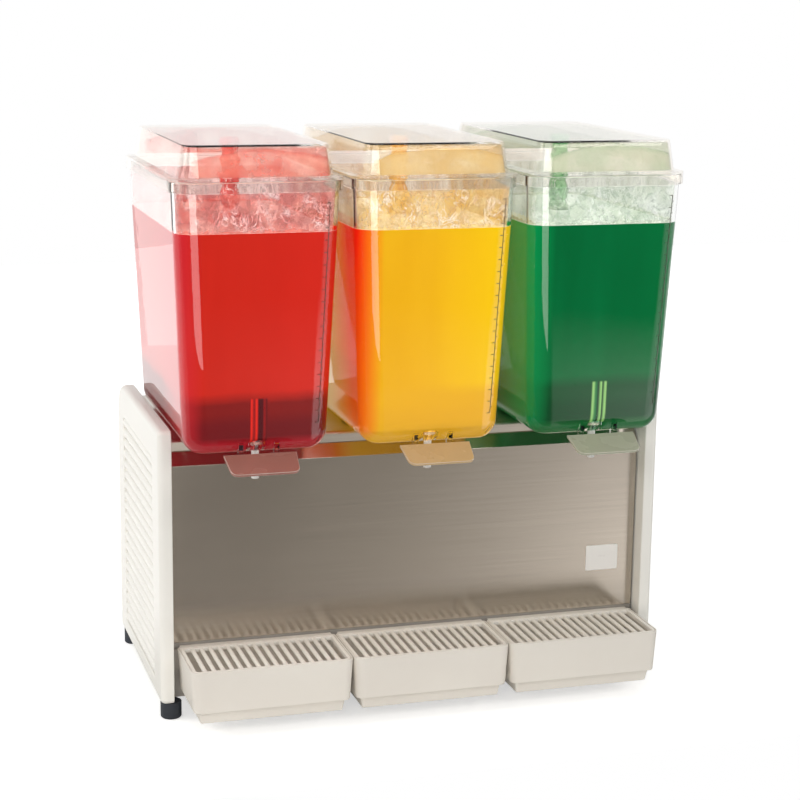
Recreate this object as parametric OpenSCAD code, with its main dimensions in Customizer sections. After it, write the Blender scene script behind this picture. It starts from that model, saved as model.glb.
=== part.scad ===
// Counter-top cold drink dispenser with three clear bowls on one refrigerated cabinet.
// Millimetres, +Z up. The origin is on the counter, in the middle of the footprint,
// +X to the right and +Y to the rear as seen by someone who draws a drink.

/* [Bowls] */
// Outer width of a bowl just under its rim
bowl_w = 191; // [178:1:204]
// Outer depth of a bowl just under its rim
bowl_d = 325; // [312:1:342]
// Height of a bowl from the deck to the top of its rim
bowl_h = 309; // [290:1:340]
// How far each wall of a bowl leans in on its way from the rim to the base
bowl_lean = 11.5; // [8:0.5:14]
// Wall of a bowl
bowl_wall = 4; // [3:0.5:5]
// Radius of a bowl's upright corners and of its base edge
bowl_round = 25; // [22:1:30]
// Thickness of a bowl's floor
bowl_floor = 4; // [3:0.5:6]
// Height of the floor's underside above the deck
floor_rise = 5; // [4:0.5:8]
// Width of the flat foot that the base stands on
foot_ring_w = 6; // [4:0.5:10]
// Height of the thick band at a bowl's rim
rim_h = 12; // [8:1:16]
// How far the rim band stands out from the wall
rim_out = 1.3; // [0.8:0.1:2]
// Gap between neighbouring lids
station_gap = 8; // [6:0.5:20]
// How far the bowls reach out in front of the side panels
bowl_reach = 71; // [66:0.5:78]

/* [Lids] */
// Height of the dome above the lid's flange
dome_h = 36; // [28:1:50]
// Wall of the dome
dome_wall = 2.5; // [1.5:0.5:3.5]
// How far the dome's sides lean in towards its top
dome_lean = 6.5; // [4:0.5:12]
// Corner radius of the dome at its foot
dome_round = 24; // [18:1:28]
// Corner radius of the dome at its top
dome_top_round = 16; // [12:1:17]
// Thickness of the lid's flange
flange_t = 4; // [3:0.5:6]
// Width of the ledge between the dome and the flange's edge at the sides
ledge_w = 10.5; // [9:0.5:16]
// Width of the same ledge at the front and rear
ledge_d = 7.5; // [7:0.5:14]
// Thickness of the lid's skirt
skirt_t = 1.8; // [1.2:0.1:2.5]
// How far the skirt hangs down over the rim band
skirt_h = 11; // [6:0.5:11.5]
// Clearance between the skirt and the rim band
lid_fit = 0.5; // [0.3:0.1:0.8]

/* [Valves and levers] */
// Distance of a valve's axis behind the front of the bowl's base
valve_in = 21; // [19:0.5:26]
// Diameter of the seat boss
seat_d = 28; // [25:0.5:30]
// Height of the seat above the bowl's floor
seat_rise = 3; // [2:0.5:5]
// Diameter of the outlet
outlet_d = 14; // [12.5:0.5:16]
// Diameter of the plunger's body
plunger_d = 22; // [20:0.5:24]
// Height of the plunger's body
plunger_h = 48; // [36:1:60]
// Radius of the plunger's top edge
plunger_round = 2; // [1:0.5:4]
// Room round the plunger in the bowl's front wall
plunger_room = 0.8; // [0.5:0.1:1.5]
// How far the sealing washer stands in from the plunger's side
seal_in = 1; // [0.5:0.5:2]
// Diameter of the plunger's hollow stem
stem_d = 9; // [8:0.5:9.5]
// Bore of the stem, from its open lower end
stem_bore = 6; // [5:0.5:6.5]
// How far the stem hangs below the deck's level
stem_drop = 31; // [28:1:40]
// Thickness of the valve's sealing washer
seal_t = 3; // [2:0.5:4]
// Gap of the closed seal over its seat
seal_gap = 0.2; // [0.1:0.05:0.3]
// Diameter of the lifting collar on the stem
collar_d = 16; // [15:0.5:20]
// Thickness of the lifting collar
collar_t = 3; // [2:0.5:4]
// Diameter of a lever's pin
pin_d = 4; // [3:0.5:5]
// Radial clearance of a lever on its pin
pin_fit = 0.06; // [0.02:0.01:0.1]
// Distance of the pin in front of the valve's axis
lever_back = 17; // [15:0.5:20]
// Depth of the pin below the deck's level
pin_drop = 17; // [15:0.5:19]
// Radius of a lever's hub
hub_r = 5.5; // [4.5:0.5:6]
// Width of a lever's hub
hub_w = 36; // [30:1:44]
// Thickness of the two lugs that carry the pin
lug_t = 5; // [4:0.5:7]
// Clearance at each side between the hub and a lug
lug_gap = 0.3; // [0.2:0.1:0.6]
// Radius of the fork's rounded tips
fork_r = 3; // [2.5:0.5:4]
// Width of one prong of the fork
prong_w = 4.5; // [3:0.5:6]
// Clearance between a prong and the stem
prong_gap = 0.5; // [0.4:0.1:1]
// Clearance between the fork and the collar above it
lift_gap = 0.3; // [0.2:0.05:0.5]
// Width of a push plate at its rear edge
plate_w = 84; // [70:1:96]
// How much narrower the push plate is at its front edge
plate_taper = 5; // [0:1:12]
// Length of the push plate along its slope
plate_l = 36; // [28:1:42]
// Downward slope of the push plate, in degrees
plate_slope = 24.5; // [15:0.5:35]
// Thickness of the push plate
plate_t = 3; // [2.5:0.5:4]
// Corner radius of the push plate
plate_round = 9; // [5:0.5:12]
// Distance of the push plate's rear edge in front of the pin
plate_out = 10; // [9:0.5:14]
// Height of the push plate's rear edge above the pin
plate_up = 21; // [18:0.5:24]

/* [Cabinet] */
// Room between an outer bowl's base and the side panel next to it
side_room = 5; // [4:0.5:16]
// Height of the cabinet from the feet to the deck
cabinet_h = 311; // [290:1:340]
// Depth of a side panel
panel_d = 300; // [292:1:340]
// Thickness of a side panel at its rim
panel_t = 16; // [13:0.5:19]
// Wall of a side panel
panel_wall = 3; // [2:0.5:4]
// Width of a side panel's solid front and rear margins
panel_return = 12; // [10:1:14]
// How far the side panels stand above the deck
panel_rise = 20; // [10:1:30]
// Radius of a side panel's top rear corner
panel_round = 40; // [20:1:50]
// Radius of a side panel's other corners
panel_corner = 6; // [3:1:10]
// Radius of a side panel's outer upright edges
panel_edge = 7; // [3:0.5:9]
// Diameter of a louvre bar
bar_d = 10; // [8:0.5:10.5]
// Gap between louvre bars
bar_gap = 3.3; // [3:0.1:6]
// Distance of the louvres from the front and rear edges of the panel
louvre_in = 44; // [40:1:60]
// Distance of the louvres from the panel's bottom edge and from the deck
louvre_margin = 20; // [16:1:40]
// Width of the frame round the louvres
louvre_frame = 4; // [3:0.5:6]
// Height of the feet
foot_h = 20; // [15:1:30]
// Diameter of a foot
foot_d = 25; // [22:1:28]
// Chamfer round a foot's lower edge
foot_chamfer = 1.5; // [0.5:0.5:3]
// Distance of a foot from the outer faces of the cabinet
foot_in = 1.5; // [0.5:0.5:4]
// Thickness of the sheet metal
sheet_t = 1.5; // [1:0.1:2]
// How far the splash panel stands back from the side panels' front faces
splash_set = 22; // [18:0.5:30]
// Size of the bevel at the top of the splash panel
bevel = 15; // [10:0.5:18]
// Height of the deck's front lip
lip_h = 13; // [10:0.5:16]
// Radius of the deck's rolled front edge
lip_round = 4; // [3:0.5:5]
// Gap at each end of the splash panel
splash_gap = 1.5; // [0.5:0.1:2]
// How far the rear panel stands in from the rear edges of the side panels
rear_set = 12; // [11.5:0.5:16]
// Height of the base pan's upturned edges
pan_edge = 18; // [12:1:22]

/* [Panel screws] */
// Diameter of a screw's head
screw_head_d = 8; // [7:0.5:9]
// Thickness of a screw's head
screw_head_t = 2; // [1.5:0.1:2.2]
// Diameter of a screw's shank
screw_d = 4; // [3:0.5:4.5]
// Length of a screw's shank
screw_l = 8; // [6:0.5:8.5]
// Clearance round a screw
screw_fit = 0.2; // [0.1:0.05:0.4]
// How deep a screw's head lies below the panel's face
screw_sink = 0.2; // [0.1:0.1:0.4]
// Distance of the screws from a panel's front and rear edges
screw_in = 24; // [21:0.5:28]
// Height of the lower screws above the feet
screw_low = 28; // [20:1:50]
// Depth of the upper screws below the deck
screw_high = 61; // [40:1:90]
// Wall of the bosses that take the screws
boss_wall = 3; // [2:0.5:4]

/* [Drip trays] */
// Height of the trays' rims above the feet
tray_rise = 65; // [62:1:80]
// Depth of a tray, front to back
tray_d = 100; // [90:1:110]
// Height of a tray's body
tray_h = 51; // [45:1:54]
// Height of the narrower base under the body
tray_base_h = 15; // [8:1:15.5]
// How far the base stands in from the body
tray_base_in = 9; // [5:0.5:14]
// How far a tray's walls lean in towards the bottom
tray_lean = 3; // [1:0.5:5]
// Wall of a tray
tray_wall = 2.2; // [1.8:0.1:3]
// Width of the ledge that the grille rests on
tray_ledge = 2.5; // [2:0.5:4]
// Radius of a tray's front corners
tray_round = 12; // [10:1:20]
// Radius of a tray's rear corners
tray_rear_round = 4; // [3:0.5:6]
// Gap between neighbouring trays
tray_gap = 0.6; // [0.5:0.1:2]
// Room between an outer tray and the side panel next to it
tray_room = 6; // [4:0.5:12]
// Gap between a tray's rear edge and the splash panel
tray_back_gap = 0.5; // [0.3:0.1:1]
// Thickness of a tray's rear rim, which hangs on the rail
hook_t = 3; // [2:0.5:4]
// Length of the hook's downturned lip
hook_drop = 12; // [8:1:16]
// Distance of the rail's upright leaf in front of the splash panel
rail_out = 6; // [5.5:0.5:8]
// Height of the rail's upright leaf
rail_leaf = 26; // [22:1:30]
// Clearance between a tray and the rail
rail_gap = 0.4; // [0.3:0.1:0.8]
// Thickness of a grille
grille_t = 5; // [4:0.5:6]
// Clearance round a grille
grille_fit = 0.4; // [0.3:0.1:0.8]
// Number of slots in a grille
slot_n = 17; // [12:1:19]
// Width of a slot
slot_w = 5.4; // [4.4:0.1:5.8]
// Margin at each side of a grille's slots
grille_side = 7; // [5:0.5:10]
// Margin in front of a grille's slots
grille_front = 4; // [3:0.5:8]
// Margin behind a grille's slots
grille_rear = 7; // [5:0.5:12]

/* [Cooling and pumps] */
// Diameter of a cooling cylinder
evap_d = 110; // [96:1:112]
// Height of a cooling cylinder above the deck
evap_h = 150; // [120:1:165]
// Wall of a cooling cylinder
evap_wall = 2; // [1.5:0.5:3]
// Radius of a cooling cylinder's top edge
evap_round = 8; // [4:0.5:12]
// Width of a cooling cylinder's flange
evap_flange = 10; // [8:0.5:12]
// Clearance between a cooling cylinder's flange and the splash panel
flange_fit = 0.3; // [0.2:0.1:0.4]
// Thickness of a bowl gasket
gasket_t = 5.5; // [4:0.5:6]
// How far the gasket stands above the bowl's floor
gasket_rise = 8; // [4:1:12]
// Clearance between the gasket and the bowl, and round the cooling cylinders
seat_fit = 0.3; // [0.2:0.05:0.5]
// Wall of the collar round the bowl's cooling cylinder hole
collar_wall = 4; // [3:0.5:5]
// Diameter of a pump cover
cover_d = 64; // [58:1:72]
// Height of a pump cover
cover_h = 24; // [20:1:30]
// Wall of a pump cover
cover_wall = 3; // [2:0.5:4]
// Width of a pump cover's inlets
inlet_w = 14; // [8:1:20]
// Height of a pump cover's inlets
inlet_h = 8; // [4:1:12]
// Diameter of an impeller
impeller_d = 46; // [40:1:48]
// Height of an impeller
impeller_h = 13; // [10:1:14]
// Thickness of an impeller's disc
disc_t = 3; // [2:0.5:4]
// Wall of an impeller's hub
hub_wall = 4; // [3:0.5:6]
// Thickness of an impeller's blade
blade_t = 2; // [1.5:0.5:3]
// Number of blades on an impeller
blade_n = 6; // [4:1:8]
// Diameter of the bearing post that an impeller turns on
post_d = 6; // [5:0.5:8]
// Radial running clearance of every shaft in its bearing
shaft_fit = 0.05; // [0.02:0.01:0.1]
// Gap under and over an impeller and over a drive magnet
spin_gap = 0.6; // [0.4:0.1:1]
// Diameter of a spray tube
tube_d = 14; // [12:0.5:16]
// Bore of a spray tube
tube_bore = 10; // [8:0.5:10.5]
// How far a spray tube stands above the bowl's rim
tube_rise = 8; // [0:1:16]
// Depth of the socket that holds a spray tube
socket_h = 10; // [6:1:14]
// Wall of the socket
socket_wall = 3; // [2:0.5:4]
// Diameter of a pump motor
motor_d = 80; // [70:1:90]
// Height of a pump motor
motor_h = 56; // [48:1:62]
// Thickness of a pump motor's flange
motor_flange_t = 2.5; // [2:0.5:4]
// Diameter of a pump motor's shaft
shaft_d = 8; // [6:0.5:10]
// Length of shaft inside a pump motor
shaft_in = 18; // [12:1:24]
// Diameter of a drive magnet
magnet_d = 48; // [40:1:60]
// Thickness of a drive magnet
magnet_t = 10; // [6:1:14]

/* [Refrigeration] */
// Diameter of the compressor's shell
compressor_d = 130; // [110:1:136]
// Height of the compressor's shell
compressor_h = 150; // [120:1:160]
// Wall of the compressor's shell
compressor_wall = 3; // [2.5:0.5:4]
// Radius of the compressor's domed ends
compressor_round = 40; // [30:1:50]
// Distance of the compressor to the right of the middle
compressor_x = 130; // [100:1:150]
// Side of the compressor's square foot plate
compressor_plate = 130; // [120:1:150]
// Height of the compressor's rubber mounts
mount_h = 14; // [10:1:18]
// Diameter of the compressor's rubber mounts
mount_d = 24; // [18:1:26]
// Thickness of the condenser
condenser_t = 44; // [30:1:50]
// Depth of the condenser
condenser_d = 210; // [180:1:230]
// Height of the condenser
condenser_h = 180; // [150:1:190]
// Number of condenser fins
fin_n = 17; // [9:2:25]
// Thickness of a condenser fin
fin_t = 1; // [0.6:0.1:1.5]
// Diameter of the condenser's tubes
coil_d = 9; // [6:0.5:10]
// Number of condenser tubes
coil_n = 5; // [3:1:7]
// Diameter of the fan
fan_d = 160; // [130:1:165]
// Width of the fan's hub
fan_hub_w = 16; // [12:1:20]
// Diameter of the fan's hub
fan_hub_d = 36; // [28:1:44]
// Number of fan blades
fan_blade_n = 5; // [3:1:7]
// Pitch of the fan blades, in degrees
fan_pitch = 28; // [15:1:40]
// Diameter of the fan motor
fan_motor_d = 60; // [50:1:80]
// Length of the fan motor
fan_motor_l = 50; // [40:1:60]
// Diameter of the fan's shaft
fan_shaft_d = 6; // [5:0.5:8]
// Gap between the condenser and the fan
fan_gap = 24; // [20:1:40]
// Height of the refrigerant lines' level run above the compressor
line_rise = 24; // [18:1:30]
// Diameter of the refrigerant lines
line_d = 8; // [6:0.5:10]

/* [Rear controls] */
// Distance of the rocker switch to the right of the middle
switch_x = 190; // [160:1:220]
// Depth of the controls below the deck
control_drop = 75; // [60:1:100]
// Radius of the rocker
rocker_r = 9.5; // [8:0.5:9.5]
// Width of the rocker
rocker_w = 11; // [8:0.5:14]
// Distance of the rocker's pivot inside the rear panel's outer face
rocker_in = 7; // [6:0.5:7]
// Diameter of the rocker's pivot stubs
rocker_pin = 3; // [2.5:0.5:4]
// Depth of the two slopes on the rocker's face
rocker_cut = 1.4; // [1:0.1:2]
// Angle of the two slopes on the rocker's face, in degrees
rocker_tilt = 16; // [10:1:20]
// Clearance round the rocker
rocker_fit = 0.5; // [0.4:0.1:0.8]
// Distance of the thermostat knob from the rocker switch
knob_off = 50; // [40:1:60]
// Diameter of the thermostat knob
knob_d = 28; // [20:1:34]
// Thickness of the thermostat knob
knob_t = 9; // [6:0.5:10]
// Width of the pointer groove in the knob
pointer_w = 2; // [1:0.5:3]
// Depth of the pointer groove in the knob
pointer_t = 1; // [0.5:0.5:2]
// Gap between the knob and the rear panel
knob_gap = 0.6; // [0.4:0.1:1]
// Diameter of the knob's shaft
knob_shaft = 6; // [5:0.5:8]
// Depth of the control box
box_d = 30; // [24:1:40]
// Wall of the control box round the rocker
box_wall = 6; // [5:0.5:10]
// Bore of the cord gland
gland_bore = 9; // [7:0.5:11]
// Wall of the cord gland
gland_wall = 3; // [2:0.5:4]
// Width of the cord gland's flange
gland_flange = 4; // [3:0.5:6]
// Thickness of the cord gland's flange
gland_flange_t = 3; // [2:0.5:5]
// Length of the cord gland's barrel behind its flange
gland_l = 12; // [8:1:16]
// Height of the cord gland above the feet
gland_rise = 40; // [36:1:60]
// Number of vent slots in one column of the rear panel
vent_n = 9; // [4:1:11]
// Length of a vent slot
vent_l = 120; // [80:1:140]
// Height of a vent slot
vent_h = 6; // [4:0.5:8]
// Spacing of the vent slots
vent_pitch = 14; // [12:0.5:16]

/* [Hidden] */
$fn = 64;
hull_fn = 32;
over = 1;
LEFT = -1;
CENTER = 0;
RIGHT = 1;
STATIONS = [LEFT, CENTER, RIGHT];

// Widths, from the bowls outwards
lid_w = bowl_w + 2 * (rim_out + lid_fit + skirt_t);
lid_d = bowl_d + 2 * (rim_out + lid_fit + skirt_t);
station_pitch = lid_w + station_gap;
base_half_w = bowl_w / 2 - bowl_lean;
base_half_d = bowl_d / 2 - bowl_lean;
inner_w = 2 * (station_pitch + base_half_w + side_room);
cabinet_w = inner_w + 2 * panel_t;

// Valve and lever places, measured from the middle of a bowl at the deck's level
valve_y = valve_in - base_half_d;
pin_y = valve_y - lever_back;
pin_z = -pin_drop;
plate_tip_y = pin_y - plate_out - plate_l * cos(plate_slope);

// Depths: what reaches furthest forward and the side panels' rear edges end the footprint
tray_reach = tray_d + tray_back_gap - splash_set;
plate_reach = bowl_reach - bowl_d / 2 - plate_tip_y;
front_reach = max(tray_reach, plate_reach);
front = front_reach - (front_reach + panel_d) / 2;
back = front + panel_d;
splash_y = front + splash_set;
lip_y = splash_y + bevel - sheet_t;
rear_y = back - rear_set;
rear_in_y = rear_y - sheet_t;
bowl_y = front - bowl_reach + bowl_d / 2;
tray_back_y = splash_y - tray_back_gap;
tray_front_y = tray_back_y - tray_d;

// Heights
deck_top = foot_h + cabinet_h;
deck_under = deck_top - sheet_t;
panel_top = deck_top + panel_rise;
pan_top = foot_h + sheet_t;
bevel_z = deck_top - lip_h - bevel;
tray_top = foot_h + tray_rise;
tray_low = tray_top - tray_h;
splash_low = tray_top + hook_t;
floor_top = floor_rise + bowl_floor;
evap_top = deck_top + evap_h;
motor_top = deck_under - evap_wall - motor_flange_t;

// Valve and lever heights, measured from the deck
seat_z = floor_top + seat_rise;
shoulder_z = seat_z + seal_gap + seal_t;
collar_z = pin_z + fork_r + lift_gap;
lug_x = hub_w / 2 + lug_gap;
pin_bore = pin_d + 2 * pin_fit;
hole_d = evap_d + 2 * gasket_t + 2 * seat_fit;

// Colours
clear_plastic = [0.85, 0.9, 0.95, 0.35];
white_plastic = [0.93, 0.92, 0.88];
stainless = [0.66, 0.63, 0.59];
painted_steel = [0.35, 0.35, 0.36];
black_rubber = [0.16, 0.17, 0.19];
copper = [0.72, 0.43, 0.28];

// A rectangle centred on the origin with round corners
module rounded_rect(w, d, r) {
  square([w - 2 * r, d], center = true);
  square([w, d - 2 * r], center = true);
  for (x = [-1, 1], y = [-1, 1])
    translate([x * (w / 2 - r), y * (d / 2 - r)])
      circle(r);
}

// A flat ring standing on z = 0
module ring(outer_d, inner_d, h) {
  difference() {
    cylinder(d = outer_d, h = h);
    translate([0, 0, -over])
      cylinder(d = inner_d, h = h + 2 * over);
  }
}

// Places children at the middle of a station's bowl, on the deck
module at_station(s) {
  translate([s * station_pitch, bowl_y, deck_top])
    children();
}

// Turns a shape drawn in the YZ plane into a bar of the given width, centred on x = 0
module across(w) {
  rotate([90, 0, 90])
    linear_extrude(w, center = true)
      children();
}

// Cabinet

// The upright outline of a side panel, drawn with x to the rear and y up
module panel_outline() {
  r = panel_corner;
  big = panel_round;
  h = panel_top - foot_h;
  translate([front, foot_h]) {
    translate([r, 0])
      square([panel_d - 2 * r, h - big]);
    translate([0, r])
      square([panel_d, h - big - r]);
    translate([r, h - big - over])
      square([panel_d - big - r, big + over]);
    translate([0, h - big - over])
      square([panel_d - big, big - r + over]);
    for (y = [r, h - r])
      translate([r, y])
        circle(r);
    translate([panel_d - r, r])
      circle(r);
    translate([panel_d - big, h - big])
      circle(big);
  }
}

// The plan outline of a left side panel, with both outer upright edges rounded
module panel_plan() {
  x = -cabinet_w / 2;
  translate([x + panel_edge, front])
    square([panel_t - panel_edge, panel_d]);
  translate([x, front + panel_edge])
    square([panel_edge + over, panel_d - 2 * panel_edge]);
  for (y = [front + panel_edge, back - panel_edge])
    translate([x + panel_edge, y])
      circle(panel_edge);
}

// Places children at the four screws of the left side panel, pointing inwards from its outer face
module at_panel_screws() {
  for (y = [front + screw_in, back - screw_in], z = [foot_h + screw_low, deck_top - screw_high])
    translate([-cabinet_w / 2, y, z])
      rotate([0, 90, 0])
        children();
}

module side_panel() {
  x = -cabinet_w / 2;
  window_y = front + louvre_in;
  window_d = panel_d - 2 * louvre_in;
  window_z = foot_h + louvre_margin;
  window_h = cabinet_h - 2 * louvre_margin;
  bars = floor((window_h - bar_gap) / (bar_d + bar_gap));
  bar_pitch = window_h / bars;
  color(white_plastic)
    difference() {
      union() {
        difference() {
          intersection() {
            translate([x + panel_t / 2, 0, 0])
              across(panel_t)
                panel_outline();
            translate([0, 0, foot_h - over])
              linear_extrude(panel_top)
                panel_plan();
          }
          translate([x + panel_wall, front + panel_return, foot_h + panel_wall])
            cube([panel_t, panel_d - 2 * panel_return, cabinet_h - panel_wall - lip_h]);
        }
        translate([x, window_y - louvre_frame, window_z - louvre_frame])
          cube([bar_d, window_d + 2 * louvre_frame, window_h + 2 * louvre_frame]);
        at_panel_screws()
          cylinder(d = screw_d + 2 * (screw_fit + boss_wall), h = panel_t);
      }
      for (i = [0:bars - 1])
        louvre_slot(window_y, window_d, window_z + i * bar_pitch, bar_pitch);
      at_panel_screws()
        translate([0, 0, -over])
          cylinder(d = screw_head_d + 2 * screw_fit, h = screw_head_t + over);
      at_panel_screws()
        translate([0, 0, -over])
          cylinder(d = screw_d + 2 * screw_fit, h = screw_head_t + screw_l + 2 * over);
    }
}

// The space between two louvre bars, as what is left of a slice of wall once its bar is taken out
module louvre_slot(y, d, z, pitch) {
  x = -cabinet_w / 2;
  difference() {
    translate([x - over, y, z - over / 2])
      cube([bar_d + 2 * over, d, pitch + over]);
    translate([x + bar_d / 2, y - over, z + pitch / 2])
      rotate([-90, 0, 0])
        cylinder(d = bar_d, h = d + 2 * over);
  }
}

module left_side_panel() {
  side_panel();
}

module right_side_panel() {
  mirror([1, 0, 0])
    side_panel();
}

module panel_screws() {
  color("silver")
    for (side = [0, 1])
      mirror([side, 0, 0])
        at_panel_screws() {
          translate([0, 0, screw_sink])
            cylinder(d = screw_head_d, h = screw_head_t - screw_sink);
          translate([0, 0, screw_head_t])
            cylinder(d = screw_d, h = screw_l);
        }
}

module feet() {
  x = cabinet_w / 2 - foot_in - foot_d / 2;
  color(black_rubber)
    for (sx = [-1, 1], y = [front + foot_in + foot_d / 2, back - foot_in - foot_d / 2])
      translate([sx * x, y, 0])
        rotate_extrude()
          polygon([
            [0, 0], [foot_d / 2 - foot_chamfer, 0], [foot_d / 2, foot_chamfer],
            [foot_d / 2, foot_h], [0, foot_h]
          ]);
}

module base_pan() {
  depth = rear_in_y - splash_y - 2 * sheet_t;
  y = splash_y + 2 * sheet_t;
  color(painted_steel) {
    translate([-inner_w / 2, y, foot_h])
      cube([inner_w, depth, sheet_t]);
    for (edge_y = [y, rear_in_y - sheet_t])
      translate([-inner_w / 2, edge_y, foot_h])
        cube([inner_w, sheet_t, pan_edge]);
  }
}

// Sheet section: an upright front, a bevel leaning back, and a flange behind the deck's lip
module splash_panel() {
  t = sheet_t;
  miter = t * tan(22.5);
  top = deck_top - lip_round;
  color(stainless)
    across(inner_w - 2 * splash_gap)
      polygon([
        [splash_y, splash_low], [splash_y, bevel_z], [splash_y + bevel, bevel_z + bevel],
        [splash_y + bevel, top], [splash_y + bevel + t, top], [splash_y + bevel + t, bevel_z + bevel - miter],
        [splash_y + t, bevel_z - miter], [splash_y + t, splash_low]
      ]);
}

// Sheet section of the deck: flat top, rolled front edge, lip turned down
module deck_section() {
  r = lip_round;
  translate([lip_y + r, deck_under])
    square([rear_in_y - lip_y - r, sheet_t]);
  translate([lip_y, deck_top - lip_h])
    square([sheet_t, lip_h - r]);
  translate([lip_y + r, deck_top - r])
    intersection() {
      difference() {
        circle(r);
        circle(r - sheet_t);
      }
      translate([-r, 0])
        square(r);
    }
}

module top_deck() {
  color(stainless)
    difference() {
      across(inner_w)
        deck_section();
      for (s = STATIONS)
        at_station(s)
          translate([0, 0, -sheet_t - over])
            cylinder(d = evap_d + 2 * seat_fit, h = sheet_t + 2 * over);
    }
}

// Place of the rear controls on the rear panel's outer face
module at_switch() {
  translate([switch_x, rear_y, deck_top - control_drop])
    children();
}

module at_knob() {
  translate([switch_x - knob_off, rear_y, deck_top - control_drop])
    rotate([-90, 0, 0])
      children();
}

module at_gland() {
  translate([switch_x, rear_y, foot_h + gland_rise])
    rotate([-90, 0, 0])
      children();
}

// Half the height of the window that the rocker shows through
function rocker_window() = sqrt(pow(rocker_r, 2) - pow(rocker_in - sheet_t, 2)) + rocker_fit;

module rear_panel() {
  vent_z = foot_h + cabinet_h / 2 - vent_pitch * (vent_n - 1) / 2;
  color(painted_steel)
    difference() {
      translate([-inner_w / 2, rear_in_y, foot_h])
        cube([inner_w, sheet_t, cabinet_h]);
      for (x = [-1, 0], i = [0:vent_n - 1])
        translate([x * (vent_l + 4 * vent_h) - 2 * vent_h, rear_y, vent_z + i * vent_pitch])
          vent_slot();
      at_switch()
        cube([rocker_w + 2 * rocker_fit, 4 * sheet_t, 2 * rocker_window()], center = true);
      at_knob()
        cylinder(d = knob_shaft + 2 * rocker_fit, h = 4 * sheet_t, center = true);
      at_gland()
        cylinder(d = gland_bore + 2 * gland_wall + 2 * screw_fit, h = 4 * sheet_t, center = true);
    }
}

module vent_slot() {
  rotate([90, 0, 0])
    linear_extrude(4 * sheet_t, center = true) {
      square([vent_l - vent_h, vent_h], center = true);
      for (x = [-1, 1])
        translate([x * (vent_l - vent_h) / 2, 0])
          circle(d = vent_h);
    }
}

// Upright sheet behind the splash panel's lower edge, with a hook rail folded out of its front
module tray_rail() {
  y = splash_y + sheet_t;
  leaf_y = splash_y - rail_out;
  leaf_top = tray_top - hook_t;
  web_z = leaf_top - rail_leaf;
  color(painted_steel)
    across(inner_w - 2 * splash_gap) {
      translate([y, pan_top - sheet_t])
        square([sheet_t, splash_low + hook_drop - pan_top]);
      translate([leaf_y, web_z])
        square([y - leaf_y + sheet_t / 2, sheet_t]);
      translate([leaf_y, web_z])
        square([sheet_t, rail_leaf]);
    }
}

module cord_gland() {
  outer = gland_bore + 2 * gland_wall;
  color(black_rubber)
    at_gland()
      difference() {
        union() {
          cylinder(d = outer + 2 * gland_flange, h = gland_flange_t);
          translate([0, 0, -gland_l])
            cylinder(d = outer, h = gland_l + over);
        }
        translate([0, 0, -gland_l - over])
          cylinder(d = gland_bore, h = gland_l + gland_flange_t + 2 * over);
      }
}

// One housing behind the rear panel carries the rocker's pivot and the thermostat's shaft
module control_box() {
  h = 2 * (rocker_r + box_wall);
  left = knob_off + knob_d / 2;
  right = rocker_w / 2 + rocker_fit + box_wall;
  color(black_rubber)
    difference() {
      at_switch()
        translate([-left, -sheet_t - box_d, -h / 2])
          cube([left + right, box_d, h]);
      at_switch()
        translate([0, -rocker_in, 0])
          rotate([0, 90, 0])
            cylinder(r = rocker_r + rocker_fit, h = rocker_w + 2 * rocker_fit, center = true);
      at_switch()
        translate([0, -rocker_in, 0])
          rotate([0, 90, 0])
            cylinder(d = rocker_pin + 2 * shaft_fit, h = rocker_w + box_wall, center = true);
      at_knob()
        translate([0, 0, -sheet_t - box_d / 2])
          cylinder(d = knob_shaft + 2 * shaft_fit, h = box_d);
    }
}

module power_switch() {
  color("crimson")
    at_switch()
      translate([0, -rocker_in, 0])
        difference() {
          rotate([0, 90, 0])
            union() {
              cylinder(r = rocker_r, h = rocker_w, center = true);
              cylinder(d = rocker_pin, h = rocker_w + box_wall - 2 * rocker_fit, center = true);
            }
          for (tilt = [-1, 1])
            rotate([tilt * rocker_tilt, 0, 0])
              translate([-rocker_w, rocker_r - rocker_cut, tilt > 0 ? 0 : -rocker_r])
                cube([2 * rocker_w, rocker_r, rocker_r]);
        }
}

module thermostat_knob() {
  color(white_plastic)
    at_knob()
      difference() {
        union() {
          translate([0, 0, knob_gap])
            cylinder(d = knob_d, h = knob_t);
          translate([0, 0, -sheet_t - box_d / 2 + rocker_fit])
            cylinder(d = knob_shaft, h = sheet_t + box_d / 2 - rocker_fit + knob_gap + over);
        }
        translate([-pointer_w / 2, knob_d / 4, knob_gap + knob_t - pointer_t])
          cube([pointer_w, knob_d / 2, pointer_t + over]);
      }
}

// Refrigeration

compressor_y = (splash_y + rear_y) / 2;
compressor_z = pan_top + mount_h;
mount_off = compressor_plate / 2 - mount_d / 2;
condenser_x = -inner_w / 2 + panel_t;
fan_x = condenser_x + condenser_t + fan_gap;
fan_z = pan_top + condenser_h / 2;
shaft_x = fan_x + fan_hub_w / 2 + spin_gap;

// Solid of revolution with round ends, standing on z = 0
module capsule(d, h, r) {
  rotate_extrude() {
    square([d / 2 - r, h]);
    translate([0, r])
      square([d / 2, h - 2 * r]);
    for (z = [r, h - r])
      translate([d / 2 - r, z])
        intersection() {
          circle(r);
          translate([-(d / 2 - r), -r])
            square([d / 2, 2 * r]);
        }
  }
}

module compressor() {
  w = compressor_wall;
  color(black_rubber)
    translate([compressor_x, compressor_y, compressor_z])
      difference() {
        union() {
          capsule(compressor_d, compressor_h, compressor_round);
          translate([0, 0, w / 2])
            cube([compressor_plate, compressor_plate, w], center = true);
        }
        translate([0, 0, w])
          capsule(compressor_d - 2 * w, compressor_h - 2 * w, compressor_round - w);
      }
}

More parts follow.
